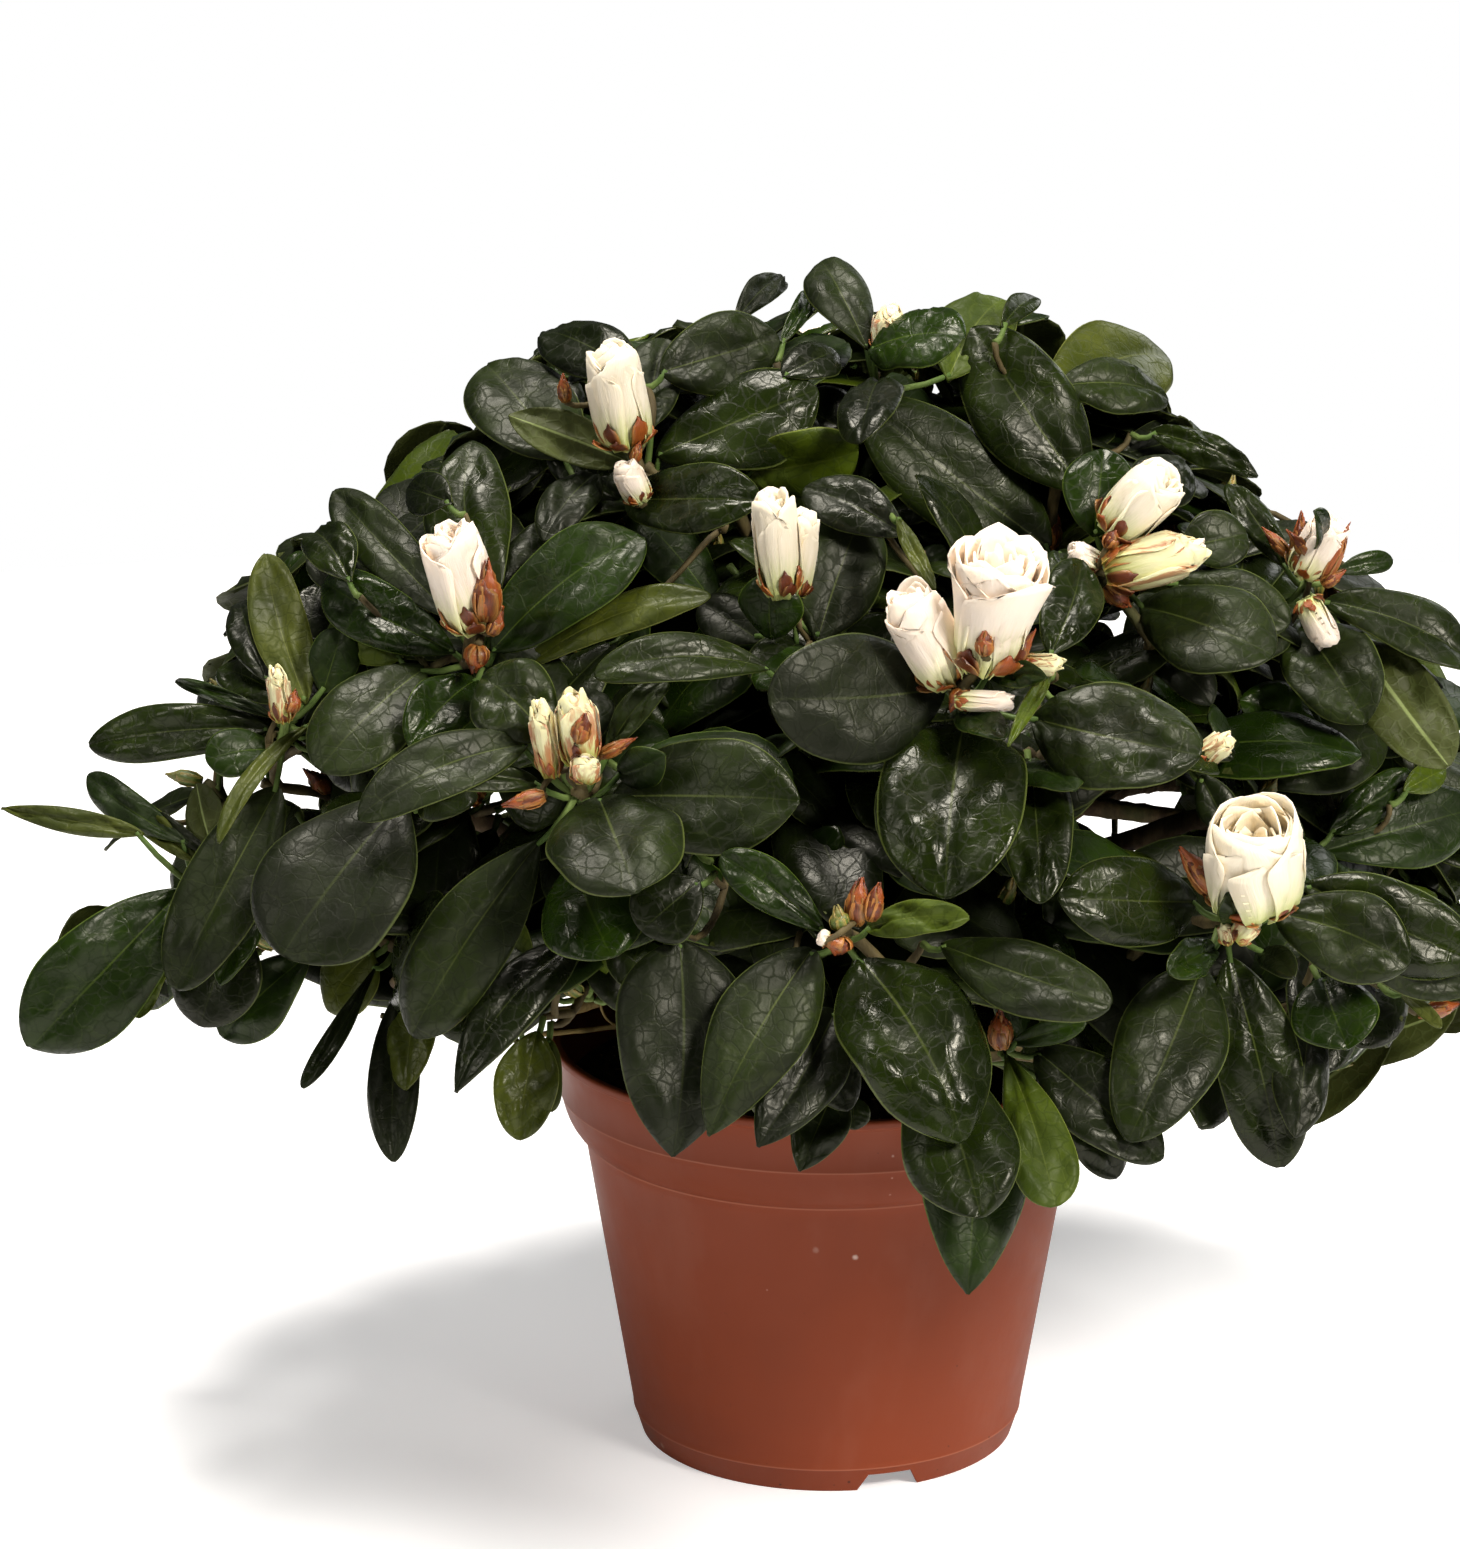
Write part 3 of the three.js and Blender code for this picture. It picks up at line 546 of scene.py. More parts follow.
# Each shoot: where its hub is seen, how deep in the dome it stands, its leaves and its buds, all
# in the photograph's pixels. A leaf is (base x, y, tip x, y, width, mm nearer the camera, tone),
# and a tone may be followed by words: under shows the underside, edge is seen on its edge,
# point ends in a point, spoon is widest near its tip, blister is strongly blistered, matte is dull,
# and sheen is turned so that it mirrors the key light.
SHOOTS_PX = {
    "upper_left": {"hub": (645, 465), "share": 0.95, "leaves": [
        (566, 457, 487, 363, 100, -4, "dark"), (635, 372, 543, 330, 64, -22, "deep"),
        (651, 428, 667, 338, 62, 2, "dark"), (655, 455, 817, 387, 90, 2, "dark"),
        (625, 500, 759, 497, 66, 10, "dark"), (628, 504, 550, 440, 50, 7, "deep"),
        (628, 463, 509, 416, 47, 8, "olive under"), (660, 372, 780, 338, 84, -14, "dark sheen"),
        (745, 472, 859, 453, 26, -6, "fresh edge"), (783, 375, 836, 350, 42, -14, "deep"),
        (600, 470, 545, 540, 50, -6, "deep")],
        "buds": [(628, 447, 607, 341, 66, 8, "warm"), (642, 502, 622, 462, 34, 14, "white"),
                 (566, 402, 562, 374, 18, 0, "brown"), (634, 462, 640, 440, 15, 12, "brown")]},
    "top": {"hub": (878, 372), "share": 0.98, "leaves": [
        (868, 348, 822, 259, 56, 0, "dark"), (735, 322, 788, 280, 30, -18, "deep"),
        (782, 342, 812, 288, 22, -10, "green"), (868, 348, 964, 336, 62, 8, "green"),
        (948, 378, 1006, 298, 72, -8, "fresh"), (1003, 325, 1038, 297, 28, -16, "dark"),
        (880, 380, 858, 440, 60, 4, "deep"), (845, 430, 800, 400, 70, -12, "deep")],
        "buds": [(884, 352, 892, 306, 38, -2, "cream")]},
    "top_right": {"hub": (1060, 470), "share": 0.9, "leaves": [
        (1040, 402, 1171, 356, 92, -22, "olive"), (1060, 385, 1170, 400, 54, -18, "dark"),
        (1084, 492, 976, 324, 104, 10, "dark"), (1050, 548, 862, 400, 104, 6, "dark sheen"),
        (1150, 430, 1258, 477, 34, -16, "dark"), (1120, 455, 1190, 440, 50, -18, "deep")],
        "buds": []},
    "upper_right": {"hub": (1110, 545), "share": 0.95, "leaves": [
        (1094, 536, 1103, 448, 72, 6, "green"), (1130, 500, 1186, 462, 62, -10, "deep"),
        (1181, 546, 1247, 532, 62, -3, "dark"), (1138, 606, 1273, 653, 97, 10, "dark"),
        (1172, 582, 1290, 622, 66, 0, "dark"), (1058, 549, 1066, 636, 56, -4, "dark"),
        (1150, 650, 1212, 704, 44, -8, "deep"), (1085, 560, 1030, 600, 50, -14, "deep")],
        "buds": [(1110, 533, 1172, 470, 68, 7, "warm"), (1106, 574, 1206, 548, 56, 12, "cream"),
                 (1100, 566, 1070, 548, 28, 8, "white"), (1106, 585, 1130, 608, 30, 10, "brown"),
                 (1108, 548, 1118, 528, 24, 12, "brown")]},
    "far_right": {"hub": (1310, 575), "share": 0.99, "leaves": [
        (1287, 568, 1229, 482, 34, -4, "dark"), (1336, 572, 1394, 562, 24, -4, "green"),
        (1324, 600, 1475, 666, 62, -4, "dark"), (1350, 640, 1449, 767, 84, -8, "olive under"),
        (1300, 622, 1366, 722, 92, -6, "dark"), (1322, 740, 1240, 700, 60, 0, "green"),
        (1246, 782, 1388, 728, 86, 6, "dark sheen"), (1330, 832, 1418, 776, 44, 2, "green"),
        (1318, 852, 1478, 806, 82, 4, "green"), (1285, 600, 1235, 660, 70, -12, "deep"),
        (1405, 790, 1447, 768, 30, -10, "fresh"), (1318, 542, 1317, 512, 18, 16, "green")],
        "buds": [(1300, 574, 1338, 518, 50, 4, "white"), (1322, 580, 1350, 524, 22, 6, "brown"),
                 (1296, 560, 1302, 512, 20, 2, "brown"), (1306, 598, 1330, 646, 36, 8, "white"),
                 (1290, 556, 1262, 528, 18, 0, "brown"), (1322, 584, 1345, 570, 20, 6, "brown"),
                 (1312, 560, 1288, 530, 18, 7, "brown")]},
    "upper_middle": {"hub": (795, 610), "share": 0.93, "leaves": [
        (771, 641, 771, 574, 62, 12, "green"), (817, 641, 864, 511, 92, 6, "dark"),
        (905, 535, 803, 488, 60, -8, "deep"), (897, 515, 936, 588, 18, -3, "olive"),
        (760, 640, 700, 600, 50, -6, "deep"), (800, 640, 760, 690, 60, -4, "deep")],
        "buds": [(782, 596, 772, 492, 52, 8, "warm"), (796, 596, 808, 510, 34, 4, "warm")]},
    "middle": {"hub": (965, 690), "share": 0.98, "leaves": [
        (944, 688, 769, 696, 128, 8, "deep matte"), (964, 722, 946, 897, 152, 10, "dark blister"),
        (960, 712, 1004, 736, 34, 12, "green"), (1032, 718, 1201, 752, 112, 10, "dark blister sheen"),
        (1018, 768, 1074, 788, 36, 12, "green"), (1030, 757, 1040, 901, 74, 2, "dark"),
        (1050, 655, 1080, 558, 64, -8, "dark"), (771, 668, 595, 676, 48, 0, "dark"),
        (1050, 672, 1008, 742, 16, 14, "fresh"), (985, 672, 1045, 676, 26, 12, "green"),
        (1200, 775, 1228, 832, 40, -12, "deep")],
        "buds": [(952, 682, 902, 592, 70, 8, "open"), (983, 668, 1006, 545, 98, 10, "flare"),
                 (1018, 664, 1066, 664, 26, 12, "cream"), (955, 700, 1014, 702, 25, 15, "white"),
                 (985, 655, 984, 628, 24, 20, "brown"), (1010, 672, 1035, 630, 18, 14, "brown"),
                 (962, 690, 950, 712, 20, 14, "brown"), (1198, 762, 1233, 736, 32, -10, "cream")]},
    "left_upper": {"hub": (478, 650), "share": 0.95, "leaves": [
        (488, 622, 474, 438, 84, -2, "dark"), (450, 502, 406, 488, 48, -14, "deep"),
        (455, 620, 334, 488, 60, -4, "dark"), (455, 652, 324, 578, 68, 2, "green"),
        (350, 580, 312, 532, 54, -16, "dark"), (402, 657, 330, 620, 60, -10, "fresh"),
        (490, 652, 641, 536, 90, 6, "green"), (522, 667, 710, 596, 40, 4, "olive"),
        (477, 678, 410, 745, 62, 4, "green"), (425, 667, 318, 768, 92, -2, "dark"),
        (500, 600, 560, 520, 60, -12, "deep")],
        "buds": [(476, 630, 446, 524, 72, 8, "white"), (486, 620, 488, 560, 40, 13, "brown"),
                 (490, 634, 502, 612, 22, 12, "brown"), (478, 645, 474, 674, 32, 12, "brown")]},
    "left_edge": {"hub": (283, 716), "share": 0.99, "leaves": [
        (306, 702, 268, 552, 58, 2, "olive"), (322, 694, 342, 628, 52, 4, "green"),
        (278, 718, 174, 680, 16, 2, "green"), (270, 728, 88, 746, 58, 2, "dark sheen"),
        (281, 750, 206, 760, 46, 6, "green"), (290, 705, 217, 668, 42, -8, "dark"),
        (267, 680, 240, 600, 44, -14, "deep"), (310, 722, 220, 842, 20, 4, "olive"),
        (278, 786, 173, 988, 86, 16, "dark matte"), (300, 740, 370, 700, 60, -6, "deep")],
        "buds": [(284, 722, 275, 666, 28, 6, "cream"), (272, 764, 248, 768, 18, 6, "brown"),
                 (290, 712, 296, 690, 22, 7, "brown")]},
    "left_low": {"hub": (188, 880), "share": 1.0, "leaves": [
        (142, 833, 0, 807, 26, 2, "olive point"), (187, 843, 88, 772, 38, -2, "green"),
        (198, 862, 132, 806, 30, 0, "olive"), (214, 856, 159, 812, 16, 2, "deep"),
        (216, 848, 198, 784, 42, 0, "olive under"), (184, 888, 30, 1048, 110, 8, "green blister sheen"),
        (172, 930, 138, 1018, 38, -6, "fresh"), (238, 914, 198, 1026, 88, -14, "deep"),
        (264, 905, 220, 985, 38, -4, "green"), (310, 953, 220, 1036, 62, -10, "green"),
        (372, 950, 326, 1010, 66, -12, "olive"), (377, 963, 300, 1086, 22, 4, "deep spoon"),
        (407, 983, 395, 1161, 52, 2, "deep"), (427, 973, 404, 1089, 48, -4, "olive")],
        "buds": []},
    "left_middle": {"hub": (575, 790), "share": 0.97, "leaves": [
        (548, 738, 480, 678, 88, -2, "dark"), (605, 755, 668, 680, 30, 2, "dark"),
        (617, 775, 663, 754, 44, 8, "green"), (610, 796, 799, 800, 118, 4, "dark"),
        (599, 797, 637, 890, 136, 12, "dark"), (574, 857, 612, 956, 108, 2, "green"),
        (541, 839, 413, 1037, 92, 8, "dark sheen"), (541, 783, 374, 772, 38, 8, "dark"),
        (528, 743, 358, 818, 66, 2, "dark matte"), (404, 798, 280, 954, 140, -2, "deep matte"),
        (560, 760, 600, 690, 60, -10, "deep")],
        "buds": [(582, 764, 572, 690, 48, 8, "cream"), (553, 776, 538, 700, 32, 6, "cream"),
                 (584, 782, 586, 756, 34, 14, "cream"), (545, 796, 503, 806, 24, 10, "brown"),
                 (578, 742, 586, 712, 26, 13, "brown"), (600, 756, 636, 738, 18, 8, "brown")]},
    "over_rim": {"hub": (560, 950), "share": 0.9, "leaves": [
        (574, 941, 457, 1093, 62, 0, "deep point"), (580, 955, 474, 1068, 30, 2, "deep"),
        (537, 1030, 519, 1140, 64, -6, "olive"), (548, 1036, 552, 1112, 30, -9, "olive")],
        "buds": []},
    "front_middle": {"hub": (845, 935), "share": 0.99, "leaves": [
        (864, 928, 968, 918, 36, 10, "fresh"), (825, 931, 720, 856, 50, 2, "green"),
        (860, 958, 962, 1142, 138, 10, "dark blister sheen"), (930, 1046, 982, 1216, 112, 4, "dark"),
        (984, 1112, 970, 1294, 102, -6, "green point"), (940, 944, 1112, 1002, 74, 4, "dark"),
        (680, 940, 671, 1157, 138, 0, "deep point matte"), (813, 948, 710, 1137, 96, 4, "dark point matte"),
        (836, 1010, 757, 1146, 80, -2, "deep point"), (836, 1085, 799, 1171, 58, -6, "dark point"),
        (800, 1000, 850, 1110, 60, -12, "deep"), (853, 1095, 856, 1130, 40, -8, "dark"),
        (700, 880, 640, 930, 70, -8, "deep")],
        "buds": [(856, 924, 862, 876, 34, 8, "brown"), (870, 920, 880, 882, 24, 10, "brown"),
                 (842, 930, 836, 906, 26, 10, "green"), (840, 936, 836, 956, 38, 12, "brown"),
                 (828, 940, 818, 936, 20, 12, "white")]},
    "front_low": {"hub": (1003, 1045), "share": 0.96, "leaves": [
        (1004, 1050, 1054, 1206, 68, 6, "fresh spoon"), (1010, 1044, 1086, 1022, 26, 4, "green"),
        (1036, 1050, 1163, 1159, 80, -4, "deep"), (1060, 1080, 1118, 1178, 60, -10, "deep")],
        "buds": [(1002, 1048, 998, 1008, 32, 6, "brown")]},
    "front_right": {"hub": (1228, 915), "share": 0.99, "leaves": [
        (1198, 902, 1060, 896, 92, 6, "dark"), (1273, 912, 1408, 966, 88, 8, "dark"),
        (1305, 884, 1478, 960, 92, 0, "dark"), (1310, 900, 1480, 985, 80, -4, "dark"),
        (1202, 965, 1128, 1140, 108, 8, "dark"), (1229, 956, 1280, 1168, 88, 8, "dark"),
        (1311, 1014, 1297, 1137, 58, -4, "deep"), (1323, 976, 1350, 1048, 88, 0, "green"),
        (1217, 948, 1171, 973, 40, 10, "green"), (1260, 950, 1292, 977, 32, 10, "deep"),
        (1398, 990, 1441, 1027, 12, 0, "olive"), (1240, 925, 1228, 896, 40, 16, "green")],
        "buds": [(1254, 905, 1254, 814, 102, 10, "round"), (1214, 894, 1180, 847, 32, 10, "brown"),
                 (1236, 940, 1258, 916, 30, 14, "cream"), (1228, 944, 1224, 922, 18, 14, "cream"),
                 (1256, 910, 1288, 888, 22, 13, "brown"), (1210, 900, 1236, 880, 20, 12, "brown")]},
}
# The twigs that show over the pot's left rim: points (x, y) in pixels with their depth in
# millimetres, and the radius in millimetres. Each goes on to the knuckle of the stem, but the curl
# is a loose end.
RIM_TWIGS_PX = [
    ([(525, 1019, -24), (548, 1013, -22), (575, 1009, -19), (600, 1002, -16), (624, 996, -12)], 1.15),
    ([(532, 1035, -22), (575, 1031, -18), (618, 1026, -14)], 0.62)]
RIM_CURL_PX = ([(616, 1026, -15), (607, 1019, -17), (602, 1010, -18), (601, 1003, -18)], 0.32)
# A leaf or bud whose foot is further than this from its hub gets a twig of its own.
FAR_LEAF, FAR_BUD = 0.016, 0.010
# How far a photographed leaf's base comes nearer with its tip, how squarely a leaf stands out from
# its shoot, and the narrowest turn towards the camera that its seen width is divided by.
LEAF_STANCE = {"base_layer": 0.35, "out": 0.12, "least_facing": 0.45, "least_face": 0.5}
# Metres: leaves shorter than this have little relief, and how wide a leaf seen on its edge is.
SHORT_LEAF, EDGE_WIDTH = 0.02, 0.021
# What the tone words change in a blade.
WORDS = {"point": {"wedge": 0.62, "blunt": 0.86}, "spoon": {"wedge": 1.15, "blunt": 0.5},
         "matte": {"seed": 0.97}, "blister": {"bulge": 0.0015, "pucker": 0.0013}}
SHORT_RELIEF = {"bulge": 0.0002, "pucker": 0.0001, "wave": 0.004}


class Shoot:
    """A hub with its leaves and blossom, and the ends (place, direction) that twigs grow to."""

    def __init__(self, hub, outward):
        self.hub, self.outward = hub, outward
        self.leaves, self.blossom = Leaves(), Blossom()
        self.ends = [(hub, outward)]


def photo_hub(px, py, share):
    """A photographed shoot at its place, pointing out of the dome, up and a little to the camera."""
    hub = on_dome(px, py, share - 0.05)
    outward = unit(dome_normal(hub) * 0.8 + np.array([0, 0, 0.45]) + unit(EYE - hub) * 0.25)
    return Shoot(hub, outward)


def pixels_per_metre(point):
    return FOCAL_PX / ((point - EYE) @ FORWARD)


def photo_leaf(shoot, rng, row):
    bx, by, tx, ty, width_px, layer, words = row
    tone, *how = words.split()
    hub, outward = shoot.hub, shoot.outward
    base = at(bx, by, hub[1]) - ray(bx, by) * layer * LEAF_STANCE["base_layer"] * MM

    # The tip slides along its ray until the leaf stands out from the shoot, or is at its longest.
    tip = at(tx, ty, hub[1])
    sight = ray(tx, ty)
    across = tip - base
    seen = np.linalg.norm(across)
    facing = sight @ outward
    facing = math.copysign(max(abs(facing), LEAF_STANCE["least_facing"]), facing)
    slide = (LEAF_STANCE["out"] * LEAF["typical"] - across @ outward) / facing
    room = math.sqrt(max(LEAF["longest"] ** 2 - seen ** 2, (0.12 * seen) ** 2))
    tip = tip + sight * (np.clip(slide, -room, room) - layer * MM)

    axis = unit(tip - base)
    sight = unit(EYE - (base + tip) / 2)
    normal = outward * 0.6 + sight * 0.6 + rng.normal(size=3) * 0.16
    if "sheen" in how:
        normal = normal * 0.35 + unit(unit(KEY_PLACE - base) + sight)
    normal = unit(normal - axis * (normal @ axis))
    across_axis = np.cross(axis, normal)
    changes = {}
    if "edge" in how:
        normal = unit(normal * 0.3 + across_axis * 0.95)
        width = EDGE_WIDTH
    else:
        face = unit(sight - axis * (sight @ axis)) @ normal
        width = width_px / pixels_per_metre(base) / max(face, LEAF_STANCE["least_face"])
        if "under" in how:
            normal = unit(-normal + across_axis * 0.25)
            changes["arch"] = rng.uniform(-0.5, -0.1)
    for word in how:
        changes.update(WORDS.get(word, {}))
    length = float(np.linalg.norm(tip - base))
    if length < SHORT_LEAF:
        changes.update(SHORT_RELIEF)
    width = float(np.clip(width, 0.0035, 0.98 * length))
    start = hub - outward * rng.uniform(0.001, 0.006)
    if np.linalg.norm(base - hub) > FAR_LEAF:
        start = base - axis * 0.004 - outward * 0.003
        shoot.ends.append((start, outward))
    shoot.leaves.add(rng, base, tip, normal, width, tone, start, True, **changes)


def photo_bud(shoot, rng, row):
    bx, by, tx, ty, width_px, layer, kind = row
    base = at(bx, by, shoot.hub[1]) - ray(bx, by) * layer * MM
    tip = at(tx, ty, shoot.hub[1]) - ray(tx, ty) * layer * MM
    tip = tip - ray(tx, ty) * LEAN.get(kind, OTHER_LEAN) * np.linalg.norm(tip - base)
    length = float(np.linalg.norm(tip - base))
    grid = "near" if width_px > BIG_BUD_PX else "plain"
    shoot.blossom.bud(rng, base, tip - base, length, width_px / pixels_per_metre(base), kind, grid)
    if np.linalg.norm(base - shoot.hub) > FAR_BUD:
        shoot.ends.append((base, unit(base - shoot.hub)))


def photographed_shoots():
    shoots = []
    for number, seen in enumerate(SHOOTS_PX.values()):
        rng = np.random.default_rng([11, number])
        shoot = photo_hub(*seen["hub"], seen["share"])
        for row in seen["leaves"]:
            photo_leaf(shoot, rng, row)
        for row in seen["buds"]:
            photo_bud(shoot, rng, row)
        shoots.append(shoot)
    return shoots


# ------------------------------------------------------------------ the rest of the crown, by rule

# The crown's outline as the photograph shows it: leaves of the rule stay inside it in the front
# view. Each is a line of (x, y) in pixels, left to right.
TOP_EDGE_PX = [(-60, 700), (40, 740), (90, 735), (180, 680), (228, 610), (262, 560), (330, 492), (405, 474),
               (470, 372), (540, 326), (640, 325), (735, 305), (800, 282), (835, 268), (880, 300),
               (1040, 300), (1110, 325), (1170, 365), (1190, 430), (1256, 475), (1300, 515), (1395, 568),
               (1480, 610), (1600, 700), (1680, 800)]
LOW_EDGE_PX = [(-60, 960), (20, 990), (150, 1000), (240, 985), (300, 960), (360, 985), (430, 1060),
               (500, 1060), (560, 1010), (600, 1010), (690, 1060), (1000, 1060), (1060, 1120), (1160, 1150),
               (1290, 1140), (1370, 1060), (1480, 1010), (1600, 1040), (1680, 1000)]
EDGE_MARGIN_PX = 4
# The rings of the rule: how many directions, the height of the lowest, the turn that sets them off
# from the others', how deep in the dome the shoots stand (at the front, elsewhere), and how far
# back they go. Backing shoots stand behind the photographed ones, and show from the sides and above.
RINGS = {"outer": {"shoots": 150, "lowest": -0.20, "turn": 0.4, "depth": (0.72, 0.84), "back": 2.0},
         "inner": {"shoots": 34, "lowest": -0.15, "turn": 1.7, "depth": (0.52, 0.52), "back": 2.0},
         "backing": {"shoots": 270, "lowest": -0.42, "turn": 2.9, "depth": (0.87, 0.87), "back": 0.30}}
LEAF_COUNT = (7, 10)  # the least, and one more than the most
# A whorl: radians from one leaf to the next, degrees that the youngest leaf leans and how much more
# the oldest does, metres between leaves along the shoot, and the leaves' lengths and slenderness.
WHORL = {"turn": 2.39996, "lean": 52, "more_lean": 44, "spacing": 0.0022, "droop": 0.12,
         "old": (0.037, 0.046), "young": (0.022, 0.034), "slender": (0.44, 0.56)}
RULE_TONES = ["deep", "dark", "green", "fresh"]
OLD_SHARES, YOUNG_SHARES = [0.4, 0.45, 0.13, 0.02], [0.1, 0.4, 0.35, 0.15]
TIP_SHARE = 0.985  # tips further out in the dome than this are drawn in
# The bud in a whorl's middle: the chance up to which it is each kind, and metres long and wide.
BUD_CHANCES = {"brown": 0.45, "white": 0.66, "open": 0.74, "cream": 0.80}
BUD_SIZES = {"brown": ((0.008, 0.012), (0.005, 0.0065)), "white": ((0.022, 0.027), (0.012, 0.016)),
             "open": ((0.025, 0.029), (0.02, 0.024)), "cream": ((0.014, 0.02), (0.008, 0.011))}
SMALL_BROWN, SMALL_GREEN = (0.012, 0.007), (0.009, 0.005)
# Where only few of the rule's shoots flower: in front of this y, below this z, and within this
# many pixels of the crown's top edge.
BARE = {"front": 0.03, "low": 0.11, "edge_px": 150, "chance": 0.12}


def top_edge(px):
    return np.interp(px, *zip(*TOP_EDGE_PX))


def inside_outline(points):
    px, py = project(points)
    low = np.interp(px, *zip(*LOW_EDGE_PX))
    return bool(((py > top_edge(px) + EDGE_MARGIN_PX) & (py < low - EDGE_MARGIN_PX)).all())


# Where the photograph shows white, or the rim twigs, through the crown: (x, y, radius) in pixels.
# A radius below 0 lets leaves reach a little past the place.
GAPS_PX = [(1137, 812, 22), (1124, 624, -4), (312, 790, 4), (487, 809, 0), (265, 953, 2),
           (560, 1014, -2), (592, 1006, -2),
           (150, 768, 12), (185, 772, 8), (228, 790, 8), (140, 868, 12), (80, 850, 12)]


def clear_of_gaps(base, tip, width):
    t = np.linspace(0, 1, 7)[:, None]
    px, py = project(base + (tip - base) * t)
    half = width / 2 * FOCAL_PX / np.linalg.norm(base - EYE) * np.sin(math.pi * t[:, 0]) ** 0.5
    return all((np.hypot(px - x, py - y) > half + radius).all() for x, y, radius in GAPS_PX)


# The grid of the view that holds how near the photographed leaves stand (pixels to a cell, cells
# round the photograph, points over each leaf), how far behind them is hidden and how near them is
# touching (metres), and how much of a backing leaf they hide at least, past the outline and inside.
COVER = {"cell": 8, "margin": 40, "fine": (40, 21), "coarse": (11, 5), "behind": 0.003, "touch": 0.0015,
         "all": 0.98, "most": 0.82}


def blade_points(blade, along, across):
    """Points spread over a flat blade."""
    t = np.linspace(0.04, 0.96, along)[:, None, None]
    u = np.linspace(-0.9, 0.9, across)[None, :, None]
    side = unit(np.cross(blade["axis"], blade["normal"]))
    half = blade["width"] / 2 * np.sin(math.pi * t) ** 0.6
    return (blade["base"] + blade["axis"] * blade["length"] * t + side * u * half).reshape(-1, 3)


class Cover:
    """How near to the camera the photographed leaves stand, over a coarse grid of the view."""

    def __init__(self):
        across, down = (size // COVER["cell"] + 2 * COVER["margin"] for size in FRAME_PX)
        self.near = np.full((down, across), np.inf)

    def spots(self, points):
        px, py = project(points)
        down, across = self.near.shape
        column = np.clip(px / COVER["cell"] + COVER["margin"], 0, across - 1).astype(int)
        row = np.clip(py / COVER["cell"] + COVER["margin"], 0, down - 1).astype(int)
        return (row, column), (points - EYE) @ FORWARD

    def add(self, blade):
        spots, far = self.spots(blade_points(blade, *COVER["fine"]))
        np.minimum.at(self.near, spots, far)

    def compare(self, points):
        """How much of some points the photographed leaves hide, and whether any touches one."""
        spots, far = self.spots(points)
        behind = far - self.near[spots]
        return float((behind > COVER["behind"]).mean()), bool((np.abs(behind) < COVER["touch"]).any())


def dome_point(direction, share):
    """The point this deep in the dome along a direction from its centre."""
    reach = dome_share(DOME["centre"] + direction * 0.1) / 0.1
    return DOME["centre"] + direction * share / reach


def spread_directions(count, lowest, turn):
    """Even directions over the sphere above a lowest height."""
    i = np.arange(count) + 0.5
    z = lowest + (1 - lowest) * i / count
    around = i * math.pi * (3 - math.sqrt(5)) + turn
    level = np.sqrt(1 - z ** 2)
    return np.stack([level * np.cos(around), level * np.sin(around), z], -1)


def rule_shoot(shoot, rng, count, ring, cover):
    """A whorl of leaves round a hub, oldest and widest spread first, with a bud in its middle.

    Returns how many leaves it kept. Leaves stay inside the photograph's outline and out of its
    gaps, and of a backing shoot only those are kept that the photographed leaves hide.
    """
    hub, outward = shoot.hub, shoot.outward
    spare = np.eye(3)[int(np.argmin(np.abs(outward)))]
    e1 = unit(np.cross(spare, outward))
    e2 = np.cross(outward, e1)
    turn = rng.uniform(0, 2 * math.pi)
    kept = 0
    for i in range(count):
        age = 1 - i / (count - 1)
        around = turn + i * WHORL["turn"] + rng.uniform(-0.25, 0.25)
        lean = math.radians(WHORL["lean"] + WHORL["more_lean"] * age + rng.uniform(-9, 9))
        side = e1 * math.cos(around) + e2 * math.sin(around)
        droop = np.array([0, 0, -WHORL["droop"] * age])
        axis = unit(outward * math.cos(lean) + side * math.sin(lean) + droop)
        start = hub - outward * WHORL["spacing"] * age * count * 0.6
        base = start + axis * rng.uniform(0.003, 0.006)
        tip = base + axis * rng.uniform(*WHORL["old" if age > 0.25 else "young"])
        share = float(dome_share(tip))
        if share > TIP_SHARE:
            tip = tip + (DOME["centre"] - tip) * min(0.35, (share - TIP_SHARE) * 1.1)
        inside = inside_outline(np.stack([tip, (base + tip) / 2, base]))
        if not inside and ring != "backing":
            continue
        normal = outward * math.sin(lean) - side * math.cos(lean) + rng.normal(size=3) * 0.1
        normal = normal + np.array([0, 0, 0.25])
        tone = str(rng.choice(RULE_TONES, p=OLD_SHARES if age > 0.3 else YOUNG_SHARES))
        width = np.linalg.norm(tip - base) * rng.uniform(*WHORL["slender"])
        if not clear_of_gaps(base, tip, width):
            continue
        blade = {"base": base, "axis": unit(tip - base), "length": np.linalg.norm(tip - base),
                 "width": width, "normal": normal}
        hidden, touching = cover.compare(blade_points(blade, *COVER["coarse"]))
        enough = COVER["most"] if inside else COVER["all"]
        if touching or (ring == "backing" and hidden < enough):
            continue
        shoot.leaves.add(rng, base, tip, unit(normal), width, tone, start, False)
        kept += 1
    if kept >= 3 and ring == "outer":
        rule_buds(shoot, rng)
    return kept


